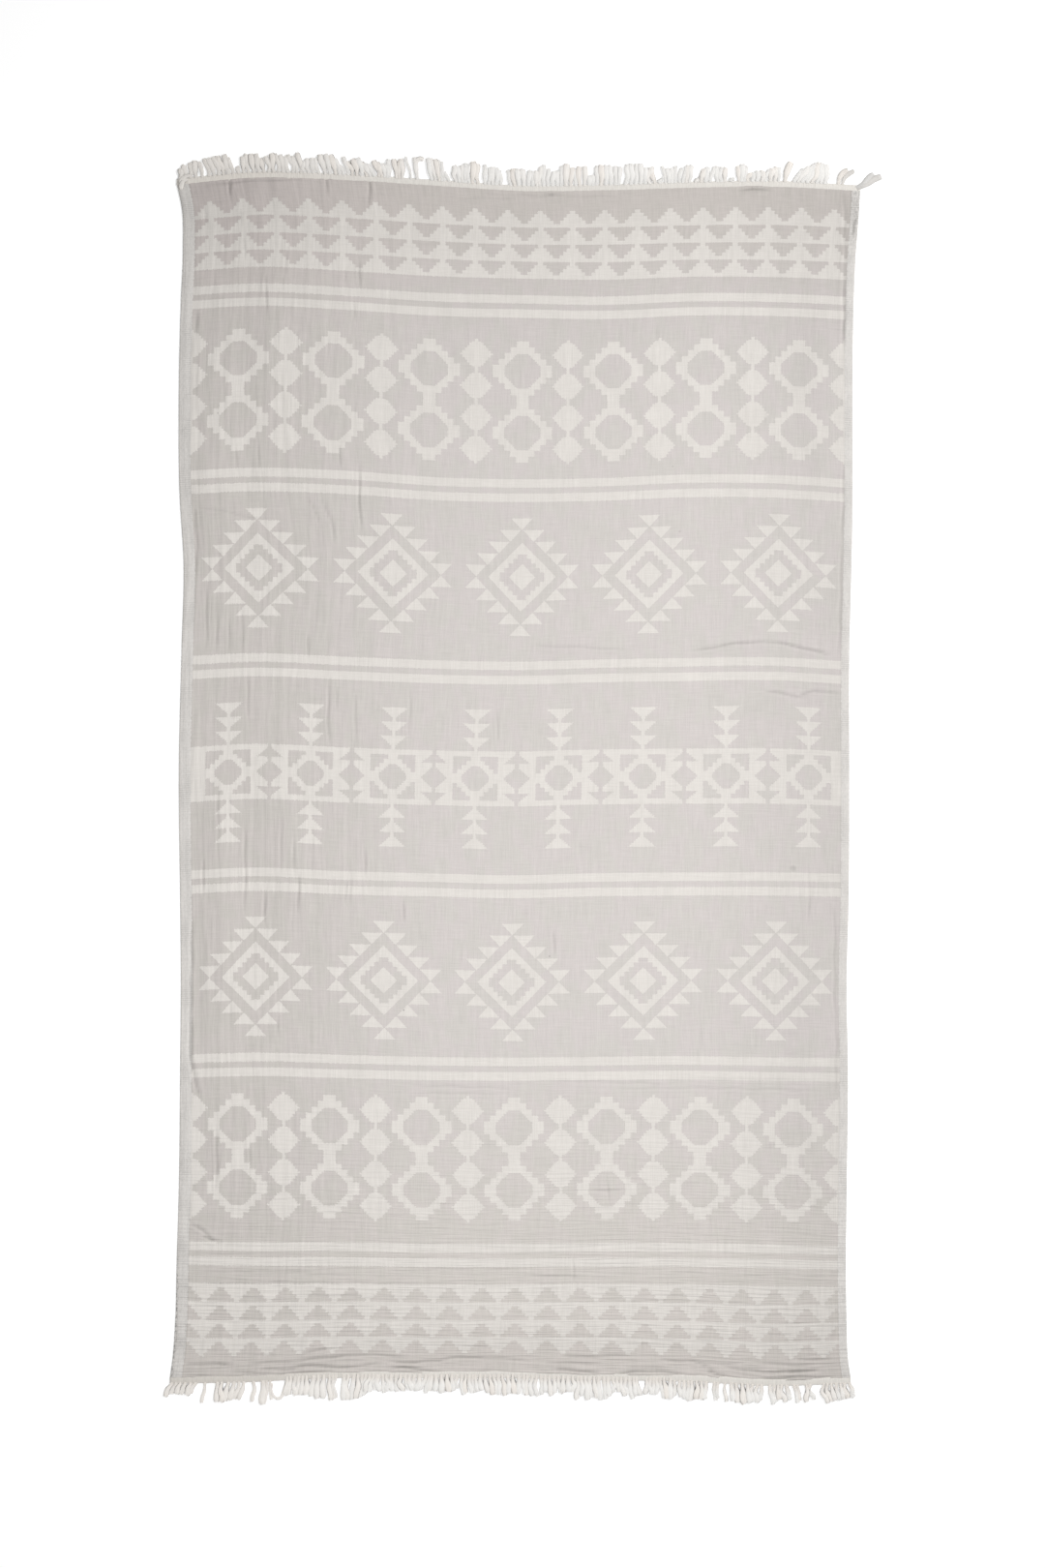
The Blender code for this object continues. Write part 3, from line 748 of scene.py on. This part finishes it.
def heading_material():
    """Close cream weave, with the warp's bunches standing a little proud."""
    finish = Finish("woven heading")
    place = finish.place()
    leftward, nearward = fringe_zones(finish, place)
    ribs = finish.noise(finish.vector_maths("MULTIPLY", place, (700, 90, 90)), detail=2.0)
    threads = finish.noise(finish.vector_maths("MULTIPLY", place, (90, 900, 90)), detail=2.0)
    tone = 0.81 + 0.3 * ribs + 0.08 * threads - (0.05 + 0.09 * nearward) * leftward
    tone = tone - 0.03 * nearward * ~leftward
    height = 0.5 * ribs + 0.25 * threads
    body = finish.mix(0.2 + 0.5 * leftward, CREAM_HEADING, WARM_HEADING)
    return finish.surface(finish.shaded(body, tone), 0.9, finish.relief(height))


def yarn_material():
    """Soft cut yarn in locks, each of its own tone, with painted shade down its sides and root."""
    finish = Finish("fringe yarn")
    skin, run, lot = finish.kept("skin", out=1), finish.kept("run"), finish.kept("lot")
    side = abs(finish.part(skin, 0))
    grain = finish.vector(0.0, 0.0, run / (14 * MM) + 9 * lot)
    grain = finish.vector_maths("MULTIPLY_ADD", skin, (4.0, 4.0, 0.0), grain)
    hairs = finish.noise(grain, detail=3.0, roughness=0.65)

    place = finish.place()
    right = finish.part(place, 0)
    leftward, nearward = fringe_zones(finish, place)
    root = 1 - run.fade(3 * MM, (12 + 6 * nearward) * MM)
    warmth = 0.8 * lot.fade(0.5, 1.0) | 0.6 * leftward | 0.8 * nearward * root
    body = finish.mix(warmth, FRINGE_YARN, WARM_FRINGE_YARN)

    # The far fringe is duller at its corners, and the painted shade between its locks is weaker
    # towards the right.
    dull = (0.07 * leftward + 0.22 * right.fade(0.455, 0.475)) * ~nearward
    between_shade_share = 1 - 0.6 * right.fade(-0.15, 0.0) * ~nearward
    # How dark the painted shade between the locks is, lock by lock.
    gap = 0.06 + (0.55 + 0.1 * nearward) * between_shade_share * lot.fade(0.35, 1.0)
    tone = 0.84 + 0.14 * hairs + 0.03 * lot + 0.06 * run.fade(4 * MM, 20 * MM) - dull
    tone = tone + 0.03 * nearward
    # Painted shade down each lock's sides, and more of it at the root, between the locks.
    tone = tone - gap * side.fade(0.6, 0.95)
    tone = tone - (0.1 + 0.2 * nearward + gap) * root * side.fade(0.4, 0.9)
    return finish.surface(finish.shaded(body, tone), 0.88, finish.relief(0.5 * hairs))


# ----------------------
# Pieces.


def new_object(name, data):
    made = bpy.data.objects.new(name, data)
    bpy.context.scene.collection.objects.link(made)
    return made


def new_piece(name, verts, faces, material):
    mesh = bpy.data.meshes.new(name)
    mesh.from_pydata(verts, [], faces)
    mesh.materials.append(material)
    mesh.shade_smooth()
    return new_object(name, mesh)


def baked(piece):
    """The piece with its modifiers applied, as a plain mesh."""
    depsgraph = bpy.context.evaluated_depsgraph_get()
    mesh = bpy.data.meshes.new_from_object(piece.evaluated_get(depsgraph))
    piece.modifiers.clear()
    piece.data = mesh
    return piece


def keep_numbers(mesh, name, numbers):
    """Keeps a number with each point of a mesh, for its material."""
    layer = mesh.attributes.new(name, "FLOAT", "POINT")
    layer.data.foreach_set("value", np.asarray(numbers, np.float32))


def grid_faces(columns, rows):
    i = np.arange(columns * rows).reshape(rows, columns)
    return np.stack([i[:-1, :-1], i[:-1, 1:], i[1:, 1:], i[1:, :-1]], -1).reshape(-1, 4)


def grid_places(across, along):
    """The crossings of places across with places along, in rows."""
    return np.tile(across, len(along)), np.repeat(along, len(across))


def centring():
    """From the plan to the model: the shift that its CAD cloth has had."""
    across = np.linspace(-0.5, 0.5, CAD_COLUMNS) * CLOTH_WIDTH
    along = np.linspace(-0.5, 0.5, CAD_ROWS) * CLOTH_LENGTH
    x, y = plan(*grid_places(across, along))
    low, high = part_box("cloth")
    return (low.x + high.x - x.min() - x.max()) / 2, (low.y + high.y - y.min() - y.max()) / 2


SHIFT = centring()

# The grid is cut finely this far beside a crease and past its ends, in millimetres.
BESIDE_CREASE, PAST_CREASE = 4, 3
CREASE_CUTS = 5  # of each side of a grid face that crosses one
TURNED = 0.4  # the sine of its turn from which a crease is also cut for that direction


def fine_grid(across, along):
    """The pattern side on its flat sizes: an even grid, cut into fine strips along each crease."""
    places = grid_places(across, along)
    faces = grid_faces(len(across), len(along))
    middle_a, middle_b = (place[faces].mean(axis=1) for place in places)
    upright, level = np.zeros((2, len(faces)), bool)
    for crease in CREASES:
        run, off = along_crease(crease, middle_a, middle_b)
        close = (np.abs(off) - 1.5) * crease.half_width < BESIDE_CREASE
        close &= (np.abs(run) - 1) * crease.half_length < PAST_CREASE
        turn = math.radians(crease.turn)
        upright |= close & (abs(math.sin(turn)) > TURNED)
        level |= close & (abs(math.cos(turn)) > TURNED)
    inner = np.ones((len(along) - 1, len(across) - 1), bool)
    inner[[0, -1], :] = False
    inner[:, [0, -1]] = False
    inner = inner.ravel()

    mesh = bpy.data.meshes.new("pattern side")
    mesh.from_pydata([(a, b, 0) for a, b in zip(*places)], [], faces.tolist())
    bm = bmesh.new()
    bm.from_mesh(mesh)
    bm.faces.ensure_lookup_table()
    cut = set()
    for number in np.flatnonzero((upright | level) & inner):
        for edge in bm.faces[number].edges:
            crosswise = abs(edge.verts[0].co.y - edge.verts[1].co.y) < 1e-6
            if upright[number] and crosswise or level[number] and not crosswise:
                cut.add(edge)
    bmesh.ops.subdivide_edges(bm, edges=list(cut), cuts=CREASE_CUTS, use_grid_fill=True)
    flat = np.array([vert.co[:2] for vert in bm.verts])
    bm.verts.index_update()
    faces = [[vert.index for vert in face.verts] for face in bm.faces]
    bm.free()
    bpy.data.meshes.remove(mesh)
    return flat[:, 0], flat[:, 1], faces


def make_cloth(material):
    """The cloth as one closed sheet: the creased pattern side, the plain underside and the rim."""
    half, end = CLOTH_WIDTH / 2, CLOTH_LENGTH / 2
    across = np.linspace(-half + RIM, half - RIM, CLOTH_COLUMNS)
    across = np.concatenate([[-half], across, [half]])
    along = np.linspace(-end + RIM, end - RIM, CLOTH_ROWS)
    along = np.concatenate([[-end], along, [end]])
    top_a, top_b, top_faces = fine_grid(across, along)
    low_a, low_b = grid_places(across, along)
    low_faces = grid_faces(len(across), len(along))

    a, b = np.concatenate([top_a, low_a]), np.concatenate([top_b, low_b])
    x, y = plan(a, b)
    z = lift(a, b)
    high = np.arange(len(a)) < len(top_a)
    pressed, crease_shade = creased(top_a, top_b)
    z[high] += CLOTH_THICKNESS + pressed

    # The edge is rounded: thinner by half, and more so from above.
    border = (np.abs(np.abs(a) - half) < 1e-5) | (np.abs(np.abs(b) - end) < 1e-5)
    z[border & high] -= 0.35 * CLOTH_THICKNESS
    z[border & ~high] += 0.15 * CLOTH_THICKNESS

    grid = np.arange(len(low_a)).reshape(len(along), len(across))
    loop = np.concatenate([grid[0, :-1], grid[:-1, -1], grid[-1, :0:-1], grid[:0:-1, 0]])
    ahead = np.roll(loop, -1)
    under = len(top_a)
    rim_faces = np.stack([loop, loop + under, ahead + under, ahead], -1)
    faces = top_faces + (low_faces[:, ::-1] + under).tolist() + rim_faces.tolist()
    verts = np.stack([x + SHIFT[0], y + SHIFT[1], z], -1)
    cloth = new_piece("towel_cloth", verts.tolist(), faces, material)

    spots = np.stack([a / CLOTH_WIDTH + 0.5, b / CLOTH_LENGTH + 0.5], -1).astype(np.float32)
    layer = cloth.data.uv_layers.new(name="flat")
    corners = np.empty(len(cloth.data.loops), np.int32)
    cloth.data.loops.foreach_get("vertex_index", corners)
    layer.data.foreach_set("uv", spots[corners].ravel())
    # Each point keeps how dark the painted crease shade is there, for the material.
    keep_numbers(cloth.data, "crease_shade", np.concatenate([crease_shade, np.zeros(len(low_a))]))
    keep_numbers(cloth.data, "under", ~high)
    return cloth


def cloth_end(side, places):
    """The X and Y of the cloth's end at places across it. side is 1 at the far end, -1 near."""
    x, y = plan(places, np.full(len(places), side * CLOTH_LENGTH / 2))
    return x + SHIFT[0], y + SHIFT[1]


# The seeds of the locks' bows, the headings' waves and the locks' strands: each has its side's 1
# or -1 added.
BOW_SEED, WAVE_SEED, STRAND_SEED = 11, 21, 5

SWEEP = 1.5 * MM  # how far neighbouring locks bow together
SWEEPS = 60  # places with a sweep of their own, over the width
SWEPT_FROM, SWEPT_TO = -500, 500
LOCK_UNEVENNESS = np.array([1.1, 1.2, 0.25]) * MM  # of each lock's bow, swing and rise


def lock_guides(side, locks, curls):
    """Each lock's width and the points of its middle line, from its heading to its tip."""
    end_x, end_y = cloth_end(side, np.linspace(-0.5, 0.5, 200) * CLOTH_WIDTH)
    chance = np.random.default_rng(BOW_SEED + side)
    sweeps = chance.normal(0, SWEEP, SWEEPS)
    guides = []
    for lock in locks:
        x = lock.root * MM + SHIFT[0]
        y = np.interp(x, end_x, end_y) + side * HEADING_DEPTH
        lean, reach = lock.lean * MM, lock.reach * MM
        deep = side < 0 and DEEP_ROOTS[0] < lock.root < DEEP_ROOTS[1]
        overlap = DEEP_ROOT_OVERLAP * MM if deep else ROOT_OVERLAP
        bend, swing, rise = chance.normal(0, 1, 3) * LOCK_UNEVENNESS
        bend += np.interp(lock.root, np.linspace(SWEPT_FROM, SWEPT_TO, SWEEPS), sweeps)
        line = (
            (0, -overlap, 1.5 * MM),
            (0.02 * lean, 0.6 * MM, 1.5 * MM),
            (0.3 * lean + bend, 0.35 * reach, 1.7 * MM + rise),
            (0.68 * lean + swing, 0.7 * reach, 1.6 * MM + rise),
            (lean, reach, 1.4 * MM),
        )
        guides.append((lock.width * MM, [(x + a, y + side * b, z) for a, b, z in line]))
    for curl in curls:
        line = [(x * MM + SHIFT[0], y * MM + SHIFT[1], z * MM) for x, y, z in curl.points]
        guides.append((curl.width * MM, line))
    return guides


LOCK_SIZES = {
    "Flatness": 0.27,  # a lock's thickness for each 1 of its width
    "Strands": 9,
    "Strand radius": 0.22 * MM,
    "Waver": 2.2 * MM,  # how far the strands stray at the tip
    "Raggedness": 0.2,  # how much shorter some strands are
}
RING_STEP = 2.6 * MM  # from ring to ring along a lock
BODY_SIDES, STRAND_SIDES = 12, 4


def lock_tree():
    """Geometry nodes that make a soft lock of cut yarn, with loose strands, on each guide line.
    The guide's points keep the lock's width as "wide".
    """
    tree = bpy.data.node_groups.new("fringe locks", "GeometryNodeTree")
    wanted = [("Guides", "NodeSocketGeometry")]
    wanted += [(name, "NodeSocketFloat") for name in LOCK_SIZES]
    wanted += [("Seed", "NodeSocketInt"), ("Yarn", "NodeSocketMaterial")]
    for name, kind in wanted:
        tree.interface.new_socket(name=name, in_out="INPUT", socket_type=kind)
    tree.interface.new_socket(name="Fringe", in_out="OUTPUT", socket_type="NodeSocketGeometry")
    work = Recipe(tree)
    given = tree.nodes.new("NodeGroupInput")
    ask = {name: Value(work, given.outputs[name]) for name, _ in wanted}

    def chance(low, high, more):
        sockets = {2: low, 3: high, 8: ask["Seed"] + more}
        return work.node("FunctionNodeRandomValue", {"data_type": "FLOAT"}, sockets, out=1)

    def kept(geometry, name, kind, domain, number):
        settings = {"data_type": kind, "domain": domain}
        sockets = {"Geometry": geometry, "Name": name, "Value": number}
        return work.node("GeometryNodeStoreNamedAttribute", settings, sockets)

    def ring(sides, radius):
        """A profile that keeps its own shape as its skin."""
        sizes = {"Resolution": sides, "Radius": radius}
        made = work.node("GeometryNodeCurvePrimitiveCircle", {"mode": "RADIUS"}, sizes)
        return kept(made, "skin", "FLOAT_VECTOR", "POINT", place)

    def cut_short(curve, end):
        return work.node("GeometryNodeTrimCurve", {"mode": "FACTOR"}, {"Curve": curve, 3: end})

    def swept(curve, profile, scale):
        sockets = {"Curve": curve, "Profile Curve": profile, "Scale": scale, "Fill Caps": True}
        return work.node("GeometryNodeCurveToMesh", sockets=sockets)

    place = work.node("GeometryNodeInputPosition")
    curves = work.node("GeometryNodeMeshToCurve", sockets={"Mesh": ask["Guides"]})
    curves = work.node(
        "GeometryNodeCurveSplineType", {"spline_type": "CATMULL_ROM"}, {"Curve": curves}
    )
    count = work.node("GeometryNodeSplineLength") / RING_STEP | 9
    curves = work.node(
        "GeometryNodeResampleCurve", {"mode": "COUNT"}, {"Curve": curves, "Count": count}
    )
    curves = work.node("GeometryNodeSetCurveNormal", {"mode": "Z_UP"}, {"Curve": curves})
    run = work.node("GeometryNodeSplineParameter")
    length = work.node("GeometryNodeSplineParameter", out=1)
    curves = kept(curves, "run", "FLOAT", "POINT", length)
    curves = kept(curves, "lot", "FLOAT", "CURVE", chance(0.0, 1.0, 0))
    lot = work.node("GeometryNodeInputNamedAttribute", {"data_type": "FLOAT"}, {"Name": "lot"})
    wide = work.node("GeometryNodeInputNamedAttribute", {"data_type": "FLOAT"}, {"Name": "wide"})

    # The body is narrow at its root, full two thirds of the way out and blunt at its tip.
    last = ((run - 0.85) / 0.15) | 0
    half = wide * (0.38 + (0.14 + 0.2 * lot) * run.fade(0.05, 0.6)) * (1.0 - 0.35 * last * last)
    flat = work.vector_maths("MULTIPLY", place, work.vector(1.0, ask["Flatness"], 1.0))
    sockets = {"Geometry": ring(BODY_SIDES, 1.0), "Position": flat}
    flat_ring = work.node("GeometryNodeSetPosition", sockets=sockets)
    bodies = swept(cut_short(curves, 0.93), flat_ring, half)

    # The strands lie over the upper half of the body, and stray from it towards their tips.
    copies = work.node(
        "GeometryNodeDuplicateElements",
        {"domain": "SPLINE"},
        {"Geometry": curves, "Amount": ask["Strands"]},
    )
    number = Value(work, copies.socket.node.outputs["Duplicate Index"])
    angle = (number + 0.5 + chance(-0.4, 0.4, 1)) * math.pi / ask["Strands"]
    tangent = work.node("GeometryNodeInputTangent")
    sideways = work.vector_maths("CROSS_PRODUCT", tangent, (0, 0, 1))
    sideways = work.vector_maths("NORMALIZE", sideways)
    reach = angle.maths("COSINE") * half * 0.95
    rise = angle.maths("SINE") * half * ask["Flatness"] * 0.95
    spread = work.vector_maths("ADD", work.scaled(sideways, reach), work.vector(0.0, 0.0, rise))
    where = work.scaled(place, 1 / (15 * MM))
    where = work.vector_maths("ADD", where, work.vector(number * 7.3, 0.0))
    stir = work.vector_maths("SUBTRACT", work.noise(where, out=1), (0.5, 0.5, 0.45))
    stir = work.scaled(stir, run * run * run * ask["Waver"])
    offset = work.vector_maths("ADD", spread, stir)
    strands = work.node("GeometryNodeSetPosition", sockets={"Geometry": copies, "Offset": offset})
    strands = cut_short(strands, 1 - chance(0.0, 1.0, 2) * ask["Raggedness"])
    strands = swept(strands, ring(STRAND_SIDES, ask["Strand radius"]), 1 - 0.4 * run)

    join = tree.nodes.new("GeometryNodeJoinGeometry")
    for part in (bodies, strands):
        tree.links.new(part.socket, join.inputs[0])
    mesh = Value(work, join.outputs[0])
    mesh = work.node("GeometryNodeSetShadeSmooth", sockets={"Geometry": mesh})
    mesh = work.node("GeometryNodeRealizeInstances", sockets={"Geometry": mesh})
    mesh = work.node(
        "GeometryNodeSetMaterial", sockets={"Geometry": mesh, "Material": ask["Yarn"]}
    )
    work.node("NodeGroupOutput", sockets={"Fringe": mesh})
    return tree


def make_locks(name, guides, tree, yarn, seed):
    """Locks on their guides, made by the tree, as one plain mesh."""
    verts, edges, widths = [], [], []
    for width, line in guides:
        edges += [(len(verts) + i, len(verts) + i + 1) for i in range(len(line) - 1)]
        verts += line
        widths += [width] * len(line)
    mesh = bpy.data.meshes.new(name)
    mesh.from_pydata(verts, edges, [])
    keep_numbers(mesh, "wide", widths)
    made = new_object(name, mesh)
    modifier = made.modifiers.new("locks", "NODES")
    modifier.node_group = tree
    sizes = {**LOCK_SIZES, "Seed": seed, "Yarn": yarn}
    for socket in tree.interface.items_tree:
        if socket.in_out == "INPUT" and socket.name in sizes:
            modifier[socket.identifier] = sizes[socket.name]
    return baked(made)


HEADING_COLUMNS = 360
HEADING_THICKNESS = 1.1 * MM
HEADING_LIFT = 0.15 * MM
FULLNESS = 0.9  # how much further out the heading reaches at a lock, in millimetres
FULLNESS_WIDTH = 3.4 * MM  # half the width over which it does so
WAVE_DEPTH, WAVES = 1.4 * MM, 60  # of its inner edge
RIPPLE_HEIGHT, RIPPLE_LENGTH = 0.12 * MM, 2.1 * MM  # the length is for each radian


def make_heading(name, side, locks, material):
    """The close-woven strip that holds the fringe, a little fuller at each lock."""
    x, y = cloth_end(side, np.linspace(-0.5, 0.5, HEADING_COLUMNS) * CLOTH_WIDTH)
    roots = np.array([lock.root * MM + SHIFT[0] for lock in locks])
    off = np.abs(x[:, None] - roots[None, :]).min(axis=1) / FULLNESS_WIDTH
    deep = HEADING_DEPTH + MM * (FULLNESS * np.exp(-off * off) - FULLNESS)

    # Its section, from inside the cloth's end outwards: shares of its depth, heights, and shares
    # of the inner edge's wave.
    rows = np.array([-0.19, 0.1, 0.4, 0.7, 0.93, 1.0])
    high = np.array([0.25, 0.35, 0.4, 0.35, 0.1, 0.0]) * MM
    waving = np.array([1.0, 0.5, 0.0, 0.0, 0.0, 0.0])
    waves = np.random.default_rng(WAVE_SEED + side).uniform(0, 1, WAVES)
    waves = np.interp(np.linspace(0, 1, len(x)), np.linspace(0, 1, WAVES), waves)
    inner = waving[:, None] * waves[None, :] * WAVE_DEPTH
    xs = np.broadcast_to(x, (len(rows), len(x)))
    ys = y[None, :] + side * (rows[:, None] * deep[None, :] - inner)
    ripple = RIPPLE_HEIGHT * np.sin(x / RIPPLE_LENGTH)[None, :]
    ripple = ripple * np.abs(rows * (1 - rows))[:, None] * 4
    zs = high[:, None] + ripple + HEADING_LIFT
    verts = np.stack([xs, ys, zs], -1).reshape(-1, 3)
    faces = grid_faces(len(x), len(rows))
    if side < 0:
        faces = faces[:, ::-1]
    heading = new_piece(name, verts.tolist(), faces.tolist(), material)
    thicken = heading.modifiers.new("thickness", "SOLIDIFY")
    thicken.thickness = HEADING_THICKNESS
    thicken.offset = 1.0
    return baked(heading)


def joined(first, second, material):
    """Both pieces as one, with a material for the second, whose kept numbers stay."""
    for layer in second.data.attributes:
        if layer.name in ("skin", "run", "lot"):
            first.data.attributes.new(layer.name, layer.data_type, layer.domain)
    bm = bmesh.new()
    bm.from_mesh(first.data)
    count = len(bm.faces)
    bm.from_mesh(second.data)
    bm.faces.ensure_lookup_table()
    for face in bm.faces[count:]:
        face.material_index = 1
    mesh = bpy.data.meshes.new(first.name)
    bm.to_mesh(mesh)
    bm.free()
    mesh.materials.append(first.data.materials[0])
    mesh.materials.append(material)
    first.data = mesh
    bpy.data.objects.remove(second)
    return first


def make_fringe(name, side, locks, curls, tree, heading_finish, yarn):
    """A heading with its locks. side is 1 at the far end and -1 at the near end."""
    heading = make_heading(name, side, locks, heading_finish)
    guides = lock_guides(side, locks, curls)
    fringe = make_locks(name + "_locks", guides, tree, yarn, STRAND_SEED + side)
    return joined(heading, fringe, yarn)


# ----------------------
# The stage: floor, light and camera, in metres.

FLOOR_HALF, FLOOR_DROP = 8.0, 0.0003
CAMERA_HEIGHT = 6.0
SENSOR_HEIGHT = 24.0  # in millimetres
FRAME_LENGTH = 2.268  # of the towel's plane, along the frame's long side
FRAME_MIDDLE = (0.0112, -0.0084)


def make_floor():
    finish = Finish("pale floor")
    grain = finish.noise(finish.place(), detail=1.0)
    colour = finish.shaded((0.95, 0.95, 0.95, 1.0), 0.99 + 0.01 * grain)
    glow = {"Emission Color": (1, 1, 1, 1), "Emission Strength": 0.22}
    finish.surface(colour, 1.0, **glow)
    corners = ((-1, -1), (1, -1), (1, 1), (-1, 1))
    verts = [(x * FLOOR_HALF, y * FLOOR_HALF, -FLOOR_DROP) for x, y in corners]
    floor = new_piece("floor", verts, [(0, 1, 2, 3)], finish.material)


def make_light(name, place, aim, size, power):
    """A soft oblong light that shines from its place to its aim."""
    data = bpy.data.lights.new(name, "AREA")
    data.shape = "RECTANGLE"
    data.size, data.size_y = size
    data.energy = power
    light = new_object(name, data)
    light.location = place
    light.visible_camera = False
    gap = np.array(aim) - np.array(place)
    tilt = math.atan2(math.hypot(gap[0], gap[1]), -gap[2])
    light.rotation_euler = (tilt, 0, math.atan2(gap[1], gap[0]) - math.pi / 2)


def make_world(strength):
    world = bpy.data.worlds.new("studio")
    world.use_nodes = True
    back = world.node_tree.nodes["Background"]
    back.inputs["Color"].default_value = (1, 1, 1, 1)
    back.inputs["Strength"].default_value = strength
    bpy.context.scene.world = world


def make_camera():
    """Straight above, with the frame's long side along the towel."""
    data = bpy.data.cameras.new("camera")
    data.sensor_fit = "VERTICAL"
    data.sensor_height = SENSOR_HEIGHT
    data.lens = SENSOR_HEIGHT * CAMERA_HEIGHT / FRAME_LENGTH
    data.clip_end = 50.0
    camera = new_object("camera", data)
    camera.location = (FRAME_MIDDLE[0] + SHIFT[0], FRAME_MIDDLE[1] + SHIFT[1], CAMERA_HEIGHT)
    bpy.context.scene.camera = camera


def main():
    cloth = make_cloth(cloth_material())
    tree = lock_tree()
    finishes = heading_material(), yarn_material()
    far = make_fringe("far_fringe", 1, FAR_LOCKS, FAR_CURLS, tree, *finishes)
    near = make_fringe("near_fringe", -1, NEAR_LOCKS, NEAR_CURLS, tree, *finishes)
    for piece, node, kind in (
        (cloth, "cloth", "cloth"),
        (far, "fringe_far", "fringe"),
        (near, "fringe_near", "fringe"),
    ):
        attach(piece, "root")
        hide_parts(node)
    make_floor()
    make_light("key", (2.6, 1.6, 2.4), (0.1, 0, 0), (1.2, 1.2), 96)
    make_light("overhead", (-0.2, -0.45, 1.9), (-0.1, -0.2, 0), (1.2, 1.2), 21)
    make_world(0.3)
    make_camera()
    bpy.context.scene.view_settings.view_transform = "Standard"


main()
